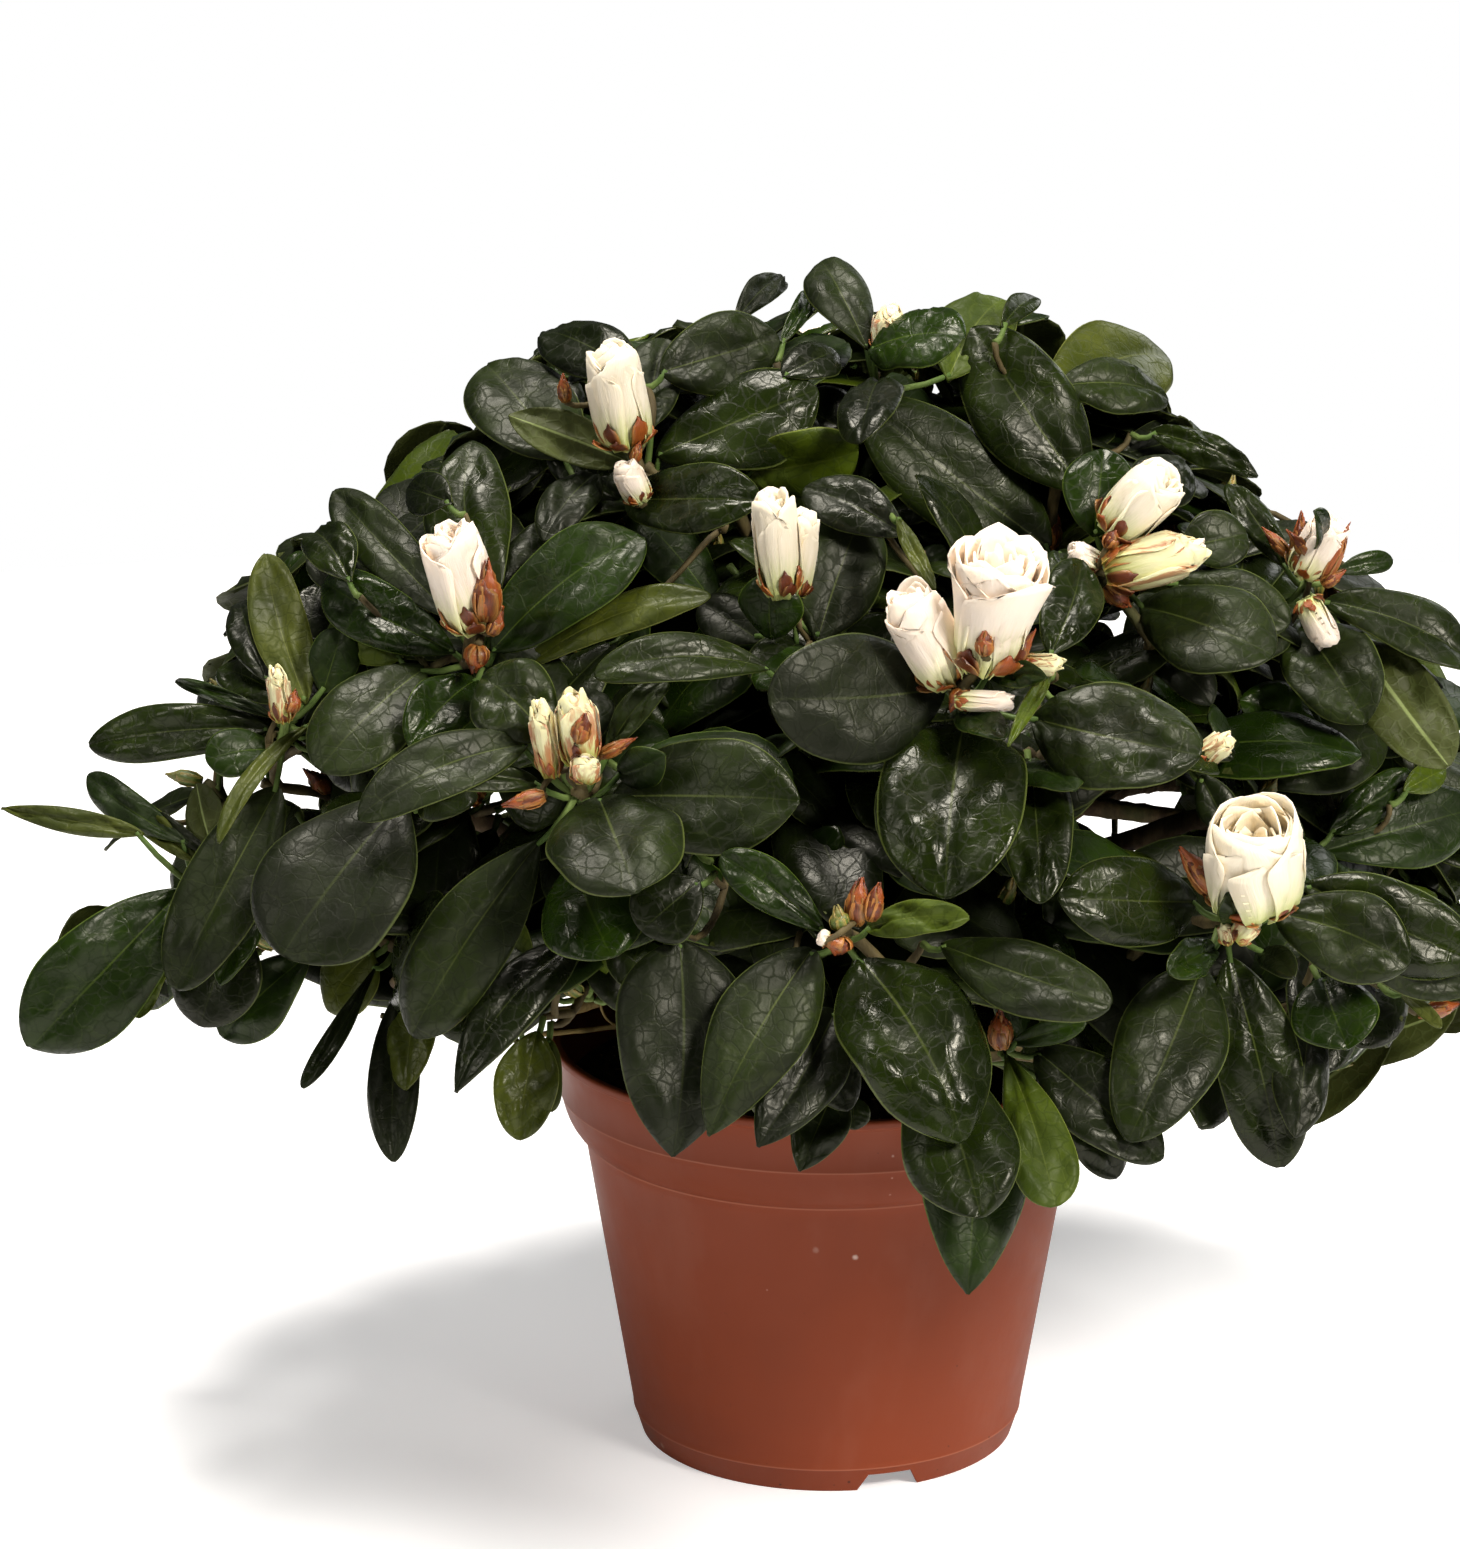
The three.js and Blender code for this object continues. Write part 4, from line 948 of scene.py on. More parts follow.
def rule_buds(shoot, rng):
    """What stands in a whorl's middle: brown buds, a white flower, or a small green bud."""
    hub, outward, bud = shoot.hub, shoot.outward, shoot.blossom.bud
    sizes = lambda kind: [rng.uniform(*limits) for limits in BUD_SIZES[kind]]
    chance = rng.uniform()
    px, py = project(hub)
    near_edge = py < top_edge(px) + BARE["edge_px"]
    bare = hub[1] < BARE["front"] or near_edge or hub[2] < BARE["low"]
    kind = next((kind for kind, limit in BUD_CHANCES.items() if chance < limit), "green")
    if bare and chance > BARE["chance"]:
        kind = "green"
    base = hub + outward * 0.001
    tilt = unit(outward + rng.normal(size=3) * 0.2)
    if kind == "brown":
        for _ in range(int(rng.integers(1, 4))):
            tilt = unit(outward + rng.normal(size=3) * 0.35)
            bud(rng, base, tilt, *sizes("brown"), "brown")
    elif kind == "green":
        bud(rng, base, tilt, *SMALL_GREEN, "green")
    else:
        bud(rng, base, tilt, *sizes(kind), kind)
    if kind == "white":
        bud(rng, base, unit(tilt + rng.normal(size=3) * 0.6), *SMALL_BROWN, "brown")


def ruled_shoots(cover):
    """The rest of the crown: an outer and an inner ring, and the backing of the photographed shoots."""
    shoots = []
    for order, (ring, rule) in enumerate(RINGS.items()):
        directions = spread_directions(rule["shoots"], rule["lowest"], rule["turn"])
        directions = directions[directions[:, 1] < rule["back"]]
        at_front, elsewhere = rule["depth"]
        for number, direction in enumerate(directions):
            rng = np.random.default_rng([23 + order, number])
            direction = unit(direction + rng.normal(size=3) * 0.05)
            front = float(np.clip(-direction[1] * 2.2 + 0.25 * direction[2] + 0.3, 0, 1))
            depth = elsewhere * (1 - front) + at_front * front
            hub = dome_point(direction, depth * rng.uniform(0.95, 1.03))
            outward = unit(dome_normal(hub) * 0.8 + np.array([0, 0, 0.4]) + rng.normal(size=3) * 0.12)
            shoot = Shoot(hub, outward)
            count = int(rng.integers(*LEAF_COUNT))
            hidden = inside_outline(hub[None]) and cover.compare(hub[None])[0]
            if ring == "backing" and not hidden:
                continue
            if rule_shoot(shoot, rng, count, ring, cover):
                shoots.append(shoot)
    return shoots


# ------------------------------------------------------------------ boughs and twigs

# The radius of each kind of bough at its foot and at its tip, in metres, and the points of its line.
LIMB = {"side": (0.0034, 0.0019), "skirt": (0.0024, 0.0013), "upper": (0.0024, 0.0014),
        "top": (0.0032, 0.0018)}
LIMB_STEPS = 9
# A twig's radius at its tip, how it grows with the shoots it carries, and its most at foot and tip;
# how much wood behind the shoot or closer than crowded is avoided; and how the twig bends.
TWIG = {"tip": 0.00068, "growth": 0.42, "most": (0.0017, 0.0014), "behind": 1.5, "crowded": 0.006,
        "avoid": 0.012, "outward": 0.2, "arrive": 0.9, "wobble": 0.0018, "steps": 9}
# The rings that old leaves leave round a twig: how many to a metre, how sharp and how high.
SCARS = {"per_metre": 120, "sharp": 60, "height": 0.11}


def limb_line(node, root):
    """A bough's centre line, read from its CAD solid and ordered outward from the stem."""
    co = np.array([v.co for v in node.data.vertices], float)
    middle = co.mean(0)
    main = np.linalg.svd(co - middle, full_matrices=False)[2][0]
    t = (co - middle) @ main
    stations = np.linspace(t.min(), t.max(), LIMB_STEPS)
    reach = (t.max() - t.min()) / LIMB_STEPS
    weight = np.exp(-((t[None] - stations[:, None]) / reach) ** 2)
    line = (weight @ co) / weight.sum(1, keepdims=True)
    line[0] += main * (t.min() - (line[0] - middle) @ main)
    line[-1] += main * (t.max() - (line[-1] - middle) @ main)
    return line if np.linalg.norm(line[0] - root) < np.linalg.norm(line[-1] - root) else line[::-1]


def smooth_path(points, steps):
    """A curve through a few points, evenly stepped."""
    points = np.asarray(points, float)
    t = np.linspace(0, len(points) - 1, steps)
    i = np.clip(t.astype(int), 0, len(points) - 2)
    f = (t - i)[:, None]
    before, after = np.clip(i - 1, 0, None), np.clip(i + 2, None, len(points) - 1)
    p0, p1, p2, p3 = points[before], points[i], points[i + 1], points[after]
    return 0.5 * (2 * p1 + (p2 - p0) * f + (2 * p0 - 5 * p1 + 4 * p2 - p3) * f ** 2
                  + (3 * p1 - p0 - 3 * p2 + p3) * f ** 3)


class Tree:
    """Twigs that grow from the boughs to each shoot, forking off the nearest wood there is."""

    def __init__(self):
        self.points, self.parents, self.paths = [], [], []

    def add_bough(self, line):
        for point in line[LIMB_STEPS // 2:]:
            self.points.append(point)
            self.parents.append(-1)

    def grow(self, hub, outward, rng):
        """One twig: it leaves the wood outwards and arrives along its shoot."""
        points = np.array(self.points)
        gap = np.linalg.norm(points - hub, axis=1)
        ahead = np.maximum(0, -((hub - points) @ outward)) * TWIG["behind"]
        chosen = int(np.argmin(gap + ahead + TWIG["avoid"] * (gap < TWIG["crowded"])))
        start, span = points[chosen], gap[chosen]
        t = np.linspace(0, 1, TWIG["steps"])[:, None]
        leave = unit(hub - start + (start - DOME["centre"]) * TWIG["outward"]) * span
        arrive = outward * span * TWIG["arrive"]
        path = ((2 * t ** 3 - 3 * t ** 2 + 1) * start + (t ** 3 - 2 * t ** 2 + t) * leave
                + (3 * t ** 2 - 2 * t ** 3) * hub + (t ** 3 - t ** 2) * arrive)
        path = path + np.sin(t * math.pi) * rng.normal(size=3) * TWIG["wobble"]
        first = len(self.points)
        for k in (2, 4, 6):
            self.points.append(path[k])
            self.parents.append(chosen if k == 2 else first + k // 2 - 2)
        self.paths.append((path, first + 2))

    def radii(self):
        """Thicker towards the bough, by how many shoots each twig carries."""
        load = np.zeros(len(self.points))
        for _, last in self.paths:
            at_point = last
            while at_point >= 0:
                load[at_point] += 1
                at_point = self.parents[at_point]
        widths = []
        for path, last in self.paths:
            ends = [TWIG["tip"] * max(load[point], 1) ** TWIG["growth"] for point in (last - 2, last)]
            foot, tip = np.minimum(ends, TWIG["most"])
            widths.append(np.linspace(foot, tip, len(path)))
        return np.array(widths)


def bark_tubes(paths, radii, columns, relief, seed):
    """Tubes with furrows along them and the rings that old leaves left."""
    rings = tubes(paths, radii, columns)
    centre = paths[:, :, None]
    spoke = rings - centre
    grain = waves(rings.reshape(-1, 3) * np.array([1, 1, 0.35]), 0.0022, seed).reshape(rings.shape[:3])
    along = np.linalg.norm(np.diff(paths, axis=1, prepend=paths[:, :1]), axis=-1).cumsum(1)
    turns = np.mod(along * SCARS["per_metre"] + paths[:, :1, 0] * 900, 1)
    scar = np.exp(-(turns - 0.5) ** 2 * SCARS["sharp"])[..., None]
    return centre + spoke * (1 + relief * grain + SCARS["height"] * scar)[..., None]


# ------------------------------------------------------------------ materials

# Scales of noise and cells are features per metre, or per leaf or petal where they follow its own
# place. A ramp is (value, from, to, result at from, result at to). Bump distances are metres.


def colour(hex_code):
    parts = [int(hex_code[i:i + 2], 16) / 255 for i in (1, 3, 5)]
    return tuple(c / 12.92 if c <= 0.04045 else ((c + 0.055) / 1.055) ** 2.4 for c in parts) + (1.0,)


class Look:
    """A Principled material with short calls for its nodes, and the base colour made so far."""

    def __init__(self, name, **sockets):
        self.material = bpy.data.materials.new(name)
        self.material.use_nodes = True
        self.tree = self.material.node_tree
        self.shader = self.tree.nodes["Principled BSDF"]
        for key, value in sockets.items():
            self.shader.inputs[key.replace("_", " ")].default_value = value
        self.where = self.node("ShaderNodeTexCoord").outputs["Object"]
        spot = self.node("ShaderNodeAttribute")
        spot.attribute_name = "place"
        parts = self.node("ShaderNodeSeparateXYZ", Vector=spot.outputs["Vector"])
        self.across, self.along, self.seed = (parts.outputs[k] for k in "XYZ")
        self.place = spot.outputs["Vector"]

    def node(self, kind, **inputs):
        node = self.tree.nodes.new(kind)
        for key, value in inputs.items():
            self.plug(node.inputs[key.replace("_", " ")], value)
        return node

    def plug(self, socket, value):
        if isinstance(value, bpy.types.NodeSocket):
            self.tree.links.new(value, socket)
        else:
            socket.default_value = value

    def math(self, operation, a, b=0.0):
        node = self.tree.nodes.new("ShaderNodeMath")
        node.operation = operation
        self.plug(node.inputs[0], a)
        self.plug(node.inputs[1], b)
        return node.outputs[0]

    def times(self, a, b):
        return self.math("MULTIPLY", a, b)

    def plus(self, a, b):
        return self.math("ADD", a, b)

    def from_middle(self):
        """0 along the middle of a leaf or petal, 1 at its edges."""
        return self.math("ABSOLUTE", self.across)

    def mix(self, factor, a, b):
        node = self.tree.nodes.new("ShaderNodeMix")
        node.data_type = "RGBA"
        self.plug(node.inputs[0], factor)
        self.plug(node.inputs[6], colour(a) if isinstance(a, str) else a)
        self.plug(node.inputs[7], colour(b) if isinstance(b, str) else b)
        return node.outputs[2]

    def ramp(self, value, low, high, start=0.0, end=1.0):
        node = self.tree.nodes.new("ShaderNodeMapRange")
        node.interpolation_type = "SMOOTHSTEP"
        for socket, given in zip(node.inputs[:5], (value, low, high, start, end)):
            self.plug(socket, given)
        return node.outputs[0]

    def noise(self, scale, detail=3.0, rough=0.55, vector=None):
        return self.node("ShaderNodeTexNoise", Vector=self.where if vector is None else vector,
                         Scale=scale, Detail=detail, Roughness=rough).outputs[0]

    def patches(self, scale, start=0.0, end=1.0):
        """Soft patches between two values."""
        return self.ramp(self.noise(scale), 0.3, 0.7, start, end)

    def ground(self, factor, a, b):
        """The base colour to begin with: two colours in patches."""
        self.base = self.mix(factor, a, b)

    def coat(self, factor, paint):
        """Lays a colour over the base colour made so far."""
        self.base = self.mix(factor, self.base, paint)

    def cells(self, scale, vector=None):
        node = self.tree.nodes.new("ShaderNodeTexVoronoi")
        node.feature = "DISTANCE_TO_EDGE"
        self.plug(node.inputs["Vector"], self.where if vector is None else vector)
        self.plug(node.inputs["Scale"], scale)
        return node.outputs["Distance"]

    def warped(self):
        """Object coordinates bent by noise, so that cells lose their straight sides."""
        cloud = self.node("ShaderNodeTexNoise", Vector=self.where, Scale=180.0, Detail=2.0)
        node = self.tree.nodes.new("ShaderNodeVectorMath")
        node.operation = "MULTIPLY_ADD"
        self.tree.links.new(cloud.outputs["Color"], node.inputs[0])
        node.inputs[1].default_value = (0.0035, 0.0035, 0.0035)
        self.tree.links.new(self.where, node.inputs[2])
        return node.outputs[0]

    def stretched(self, source, x, y, z):
        """Coordinates whose pattern is stretched where a factor is below 1."""
        node = self.tree.nodes.new("ShaderNodeMapping")
        self.plug(node.inputs["Vector"], source)
        node.inputs["Scale"].default_value = (x, y, z)
        return node.outputs[0]

    def finish(self, roughness=None, height=None, strength=0.3, distance=0.0004):
        self.plug(self.shader.inputs["Base Color"], self.base)
        if roughness is not None:
            self.plug(self.shader.inputs["Roughness"], roughness)
        if height is not None:
            bump = self.node("ShaderNodeBump", Height=height)
            bump.inputs["Strength"].default_value = strength
            bump.inputs["Distance"].default_value = distance
            self.plug(self.shader.inputs["Normal"], bump.outputs[0])
        return self.material


LEAF_GLOSS = (1.0, 0.97, 0.84, 1.0)


def leaf_top(name, shade, light, vein, rough):
    """Leathery and glossy: a pale midrib and margin, and a fine net of dull, sunken veins."""
    look = Look(name, IOR=1.45, Specular_IOR_Level=0.25, Specular_Tint=LEAF_GLOSS)
    look.ground(look.patches(70.0), shade, light)
    bent = look.warped()
    net = look.ramp(look.cells(300.0, bent), 0.0, 0.09, 1.0, 0.0)
    wide = look.ramp(look.cells(105.0, bent), 0.0, 0.03, 1.0, 0.0)
    look.coat(look.times(net, 0.5), shade)
    look.coat(look.times(wide, 0.06), vein)
    edge = look.from_middle()
    fade = look.ramp(look.along, 0.15, 0.9, 1.0, 0.2)
    look.coat(look.times(look.ramp(edge, 0.008, 0.03, 0.5, 0.0), fade), vein)
    look.coat(look.ramp(edge, 0.967, 0.995, 0.0, 0.85), vein)
    swell = look.plus(look.times(look.noise(190.0), 2.4), look.times(look.noise(1100.0), 0.35))
    veins = look.plus(look.times(net, 0.2), look.times(wide, 0.26))
    dull = look.plus(look.patches(120.0, rough - 0.06, rough + 0.08), look.times(net, 0.22))
    dull = look.plus(dull, look.ramp(look.seed, 0.15, 0.95, -0.02, 0.17))
    return look.finish(dull, look.math("SUBTRACT", swell, veins), 0.38, 0.00034)


def leaf_under(name):
    """Dull and paler, with a strong midrib and a net of raised veins."""
    look = Look(name, IOR=1.4, Specular_IOR_Level=0.3, Specular_Tint=LEAF_GLOSS)
    look.ground(look.patches(80.0), "#2C320E", "#3A4019")
    net = look.cells(430.0)
    look.coat(look.ramp(net, 0.0, 0.09, 0.12, 0.0), "#5E6C3C")
    look.coat(look.ramp(look.from_middle(), 0.02, 0.07, 0.7, 0.0), "#7A8650")
    return look.finish(look.patches(200.0, 0.5, 0.64), look.ramp(net, 0.16, 0.0), 0.2, 0.0003)


def petal_look(name, low, high, tip, stain):
    """Pale petals, greener towards the foot, and stained brown-red along the edges of young ones."""
    look = Look(name, IOR=1.4, Subsurface_Weight=0.3, Subsurface_Radius=(1.0, 0.9, 0.7),
                Subsurface_Scale=0.003)
    streak = look.noise(14.0, vector=look.stretched(look.place, 1.6, 0.25, 9.0))
    look.ground(look.ramp(look.plus(look.along, look.times(streak, 0.35)), 0.16, 0.8), low, high)
    look.coat(look.ramp(look.along, 0.9, 1.0, 0.0, 0.35), tip)
    edge = look.ramp(look.from_middle(), 0.25, 0.95, 0.0, stain)
    blotch = look.noise(5.0, vector=look.stretched(look.place, 1.0, 0.5, 9.0))
    look.coat(look.times(edge, look.ramp(blotch, 0.42, 0.58)), "#A84A18")
    creases = look.noise(40.0, 2.0, vector=look.stretched(look.place, 1.0, 0.12, 3.0))
    return look.finish(look.patches(300.0, 0.46, 0.6), creases, 0.28, 0.0005)


def scale_look(name, low, high, tip, rough):
    """Papery scales, streaked along their length and paler at the edges."""
    look = Look(name, IOR=1.5)
    streak = look.noise(18.0, vector=look.stretched(look.place, 1.8, 0.3, 9.0))
    look.ground(look.ramp(streak, 0.35, 0.65), low, high)
    look.coat(look.ramp(look.along, 0.5, 1.0, 0.0, 0.6), tip)
    edge = look.times(look.ramp(look.from_middle(), 0.55, 1.0), streak)
    look.coat(look.times(edge, 0.7), "#BC9048")
    return look.finish(look.patches(400.0, rough, rough + 0.15), streak)


def bark_look(name, young, old, moss):
    """Two browns in grain that runs mostly upright, with greenish patches."""
    look = Look(name, IOR=1.4)
    grain = look.noise(260.0, 5.0, 0.65, look.stretched(look.where, 1.0, 1.0, 0.35))
    look.ground(look.ramp(grain, 0.35, 0.7), old, young)
    look.coat(look.ramp(look.noise(45.0), 0.55, 0.75, 0.0, 0.55), moss)
    return look.finish(look.ramp(grain, 0.2, 0.8, 0.85, 0.66), grain, 0.6, 0.0007)


def soil_look():
    """Dark crumbs of peat with a few pale specks."""
    look = Look("peat", IOR=1.35)
    clods = look.noise(330.0, 6.0, 0.7)
    look.ground(look.ramp(clods, 0.35, 0.68), "#120D0A", "#3A2A1E")
    look.coat(look.ramp(look.noise(520.0, 1.0), 0.70, 0.74), "#7A6650")
    return look.finish(look.ramp(clods, 0.2, 0.8, 0.98, 0.86), clods, 0.9, 0.0015)


def pot_look():
    """Satin terracotta plastic with painted highlights along its moulding lines, painted shade over the
    collar above the shoulder, a few scuffs, and peat dust at its foot.
    """
    look = Look("pot_plastic", IOR=1.46, Specular_IOR_Level=0.24)
    look.ground(look.patches(16.0), "#7C371D", "#873D21")
    haze = look.noise(38.0, 4.0, 0.62, look.stretched(look.where, 1.0, 1.0, 0.4))
    look.coat(look.ramp(haze, 0.52, 0.74, 0.0, 0.08), "#A87A68")
    up = look.node("ShaderNodeSeparateXYZ", Vector=look.where).outputs["Z"]
    # Painted shade: the collar above the shoulder is darkened as if the crown over it shaded it.
    shoulder = POT["shoulder"][1] * MM
    look.coat(look.ramp(up, shoulder - 0.0003, shoulder + 0.0003, 0.0, 0.30), "#5E2A18")
    # Painted highlights: thin paler lines at the foot, shoulder and seam ridges, where light would catch
    # them.
    for height in (POT["wall_foot"][1], POT["shoulder"][1], POT["seam"][1]):
        gap = look.math("ABSOLUTE", look.math("SUBTRACT", up, height * MM))
        look.coat(look.ramp(gap, 0.00008, 0.0003, 0.22, 0.0), "#C98E74")
    rub = look.noise(260.0)
    for px, py, radius, strength, paint in POT_MARKS_PX:
        near = look.node("ShaderNodeVectorMath", Vector=look.where)
        near.operation = "DISTANCE"
        near.inputs[1].default_value = on_wall(px, py)
        ragged = look.plus(near.outputs["Value"], look.times(rub, 2 * radius * MM))
        look.coat(look.ramp(ragged, radius * MM, 1.9 * radius * MM, strength, 0.0), paint)
    dust = look.ramp(look.noise(520.0, 1.0), 0.755, 0.785)
    look.coat(look.times(dust, look.ramp(up, 0.002, 0.016, 0.7, 0.12)), "#3C2218")
    return look.finish(look.patches(60.0, 0.44, 0.56), look.noise(900.0), 0.12, 0.0002)


# ------------------------------------------------------------------ pot, peat and stem

# The pot in millimetres. A pair is (radius, height), but the floor's is the heights of its two sides,
# and radii are the outer wall's. A ridge is how far a moulding line stands out.
POT = {"height": 98, "rim": 65.5, "lip": 64.6, "lip_depth": 2.2, "seam": (63.3, 85.0),
       "collar": (62.4, 80.5), "shoulder": (57.7, 74.4), "wall_foot": (46.4, 6.0), "foot": 44.6,
       "wall": 1.3, "floor": (4.6, 6.1), "columns": 160}
RIDGE = 0.12
# The notches in the foot ring: the first one's bearing in degrees, widths and height in millimetres.
NOTCH = {"count": 3, "bearing": -71, "bottom": 16, "top": 10.5, "height": 4.3}
DRAIN = {"count": 6, "circle": 28, "radius": 4.5}


def wall_radius(height):
    line = [(POT["foot"], 0.0), POT["wall_foot"], POT["shoulder"], POT["collar"], POT["seam"],
            (POT["lip"], POT["height"] - POT["lip_depth"])]
    radii, heights = zip(*line)
    return float(np.interp(height, heights, radii))


# Marks on the pot's front: (x, y) in pixels, radius in millimetres, strength and colour.
PALE, DIRT = "#D8BCAE", "#3A2016"
POT_MARKS_PX = [(855, 1257, 0.8, 0.8, PALE), (893, 1156, 0.7, 0.5, PALE), (892, 1178, 0.5, 0.45, PALE),
                (890, 1194, 0.5, 0.4, PALE), (767, 1290, 0.5, 0.4, PALE), (816, 1250, 1.1, 0.2, PALE),
                (662, 1446, 1.4, 0.4, PALE), (957, 1366, 0.3, 0.8, DIRT), (981, 1448, 0.45, 0.8, DIRT),
                (849, 1482, 0.5, 0.8, DIRT), (834, 1485, 0.35, 0.7, DIRT), (878, 1153, 0.3, 0.8, DIRT)]


def on_wall(px, py):
    """Where a pixel's ray meets the pot's wall."""
    points = EYE + ray(px, py) * np.linspace(1.0, 1.4, 1600)[:, None]
    reach = [wall_radius(z / MM) * MM for z in points[:, 2]]
    return points[int(np.argmax(np.hypot(points[:, 0], points[:, 1]) < reach))]


def arc(centre, radius, start, end, steps):
    """Points of a circular fillet, in degrees from +radius towards +height."""
    turn = np.radians(np.linspace(start, end, steps))
    return [(centre[0] + radius * math.cos(a), centre[1] + radius * math.sin(a)) for a in turn]


def ridge(radius, height):
    """A thin moulding line on the wall."""
    return [(wall_radius(height - 0.3), height - 0.3), (radius + RIDGE, height - 0.06),
            (radius + RIDGE, height + 0.06), (wall_radius(height + 0.3), height + 0.3)]


def pot_profile():
    top, wall, rim = POT["height"], POT["wall"], POT["rim"]
    low, high = POT["floor"]
    inner = lambda z: (wall_radius(z) - wall, z)
    lip_under = top - POT["lip_depth"]
    line = [(0.05, low), inner(low), inner(0.35), (POT["foot"] - wall + 0.35, 0.0)]
    line += arc((POT["foot"] - 0.35, 0.35), 0.35, -90, -20, 4)
    line += ridge(POT["wall_foot"][0], POT["wall_foot"][1])
    line += [(wall_radius(z), z) for z in np.linspace(8, 72, 14)]
    line += ridge(*POT["shoulder"])
    # the slope from the shoulder out to the collar
    line += [(58.7, 75.3), (60.0, 76.8), (61.1, 78.4), (61.9, 80.0), (62.4, 81.4), (62.8, 82.8)]
    line += ridge(*POT["seam"])
    line += [(wall_radius(90), 90.0), (wall_radius(lip_under - 0.5), lip_under - 0.5)]
    line += [(rim - 0.5, lip_under), *arc((rim - 0.55, lip_under + 0.55), 0.55, -60, 0, 4)]
    line += arc((rim - 0.9, top - 0.9), 0.9, 0, 90, 6)
    inside = POT["lip"] - wall
    line += arc((inside + 0.6, top - 0.6), 0.6, 90, 180, 4)
    line += [inner(z) for z in (90, 85, 80.5, 74.4, 60, 45, 30, 15, 8)]
    line += [(inner(high)[0] - 1.0, high), (0.05, high)]
    return np.array(line) * MM


def cut(piece, cutters):
    """Takes closed cutters out of a piece and keeps the result as its mesh."""
    for cutter in cutters:
        tool = piece.modifiers.new("cut", "BOOLEAN")
        tool.operation, tool.solver, tool.object = "DIFFERENCE", "EXACT", cutter
    bpy.context.view_layer.update()
    seen = piece.evaluated_get(bpy.context.evaluated_depsgraph_get())
    mesh = bpy.data.meshes.new_from_object(seen)
    piece.modifiers.clear()
    piece.data = mesh
    mesh.name = piece.name
    for cutter in cutters:
        bpy.data.objects.remove(cutter)


def cutter_from(points, faces):
    mesh = bpy.data.meshes.new("cutter")
    mesh.from_pydata([tuple(p) for p in points], [], faces)
    return link(bpy.data.objects.new("cutter", mesh))


def notch_cutters():
    """Tapered slots through the foot ring."""
    made = []
    low, high = -1.0, NOTCH["height"]
    near, far = POT["foot"] - 5, POT["foot"] + 5
    for i in range(NOTCH["count"]):
        a = math.radians(NOTCH["bearing"] + 360 * i / NOTCH["count"])
        out, side = np.array([math.cos(a), math.sin(a), 0]), np.array([-math.sin(a), math.cos(a), 0])
        corners = [(d, w, z) for d in (near, far)
                   for w, z in ((-NOTCH["bottom"] / 2, low), (NOTCH["bottom"] / 2, low),
                                (NOTCH["top"] / 2, high), (-NOTCH["top"] / 2, high))]
        points = [(out * d + side * w + np.array([0, 0, z])) * MM for d, w, z in corners]
        made.append(cutter_from(points, [(3, 2, 1, 0), (4, 5, 6, 7), (0, 1, 5, 4), (1, 2, 6, 5),
                                         (2, 3, 7, 6), (3, 0, 4, 7)]))
    return made


def drain_cutters():
    made, sides = [], 28
    for i in range(DRAIN["count"]):
        a = 2 * math.pi * (i + 0.5) / DRAIN["count"]
        x, y = DRAIN["circle"] * math.cos(a), DRAIN["circle"] * math.sin(a)
        turn = np.linspace(0, 2 * math.pi, sides, endpoint=False)
        points = [np.array([x + DRAIN["radius"] * math.cos(b), y + DRAIN["radius"] * math.sin(b), z]) * MM
                  for z in (2.0, 9.0) for b in turn]
        sidewalls = [(k, (k + 1) % sides, sides + (k + 1) % sides, sides + k) for k in range(sides)]
        made.append(cutter_from(points, [tuple(range(sides))[::-1], tuple(range(sides, 2 * sides)),
                                         *sidewalls]))
    return made


def build_pot():
    piece = Piece("pot_shell", [pot_look()], "pot")
    piece.add(turned(pot_profile(), POT["columns"]), 0)
    shell = piece.build()
    cut(shell, notch_cutters() + drain_cutters())
    shell.data.shade_smooth()
    edges = shell.modifiers.new("edges", "EDGE_SPLIT")
    edges.split_angle = math.radians(38)
    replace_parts(shell, "pot")


# Millimetres: the peat's height, and how far inside the pot's outer wall it stays.
SOIL_TOP, SOIL_CLEAR = 87.0, 1.65


def build_peat():
    base = POT["floor"][1] + 0.35
    inner = lambda z: (wall_radius(z) - SOIL_CLEAR, z)
    line = [(0.05, base), (20, base), inner(base), inner(30), inner(60), inner(74.4), inner(80.5),
            inner(84.0), inner(85.3)]
    edge = inner(85.3)[0]
    line += [(edge * (1 - t) + 0.05 * t, SOIL_TOP - 1.1 + 1.1 * min(1, 2.4 * t))
             for t in np.linspace(0.02, 1, 46)]
    rings = turned(np.array(line) * MM, 150)
    radius = np.linalg.norm(rings[..., :2], axis=-1)
    lift = np.clip((rings[..., 2] - 0.0853) / 0.0006, 0, 1) * np.clip((radius - 0.004) / 0.004, 0, 1)
    flat = rings.reshape(-1, 3)
    clods = (waves(flat, 0.006, 3) * 0.0011 + np.abs(waves(flat, 0.0026, 4)) * 0.0009
             + waves(flat, 0.0013, 5) * 0.0003).reshape(lift.shape)
    rings[..., 2] += (clods - 0.0007) * lift
    piece = Piece("peat_top", [soil_look()], "soil")
    piece.add(rings, 0)
    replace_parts(piece.build(), "root_ball")


# The stem in millimetres: its height, the height of its foot, how far it leans for each unit of
# height, and its profile of (radius, height) points over its foot.
STEM = {"height": 27, "base": 87.35, "lean": 0.09,
        "line": [(0.05, 0.0), (11, 0.0), (9.6, 0.9), (8.1, 3.2), (6.9, 7), (6.4, 10.3), (6.5, 13),
                 (6.8, 15.7), (7.7, 18.6), (8.6, 21.6), (8.4, 24), (6.2, 27), (0.05, 27)]}


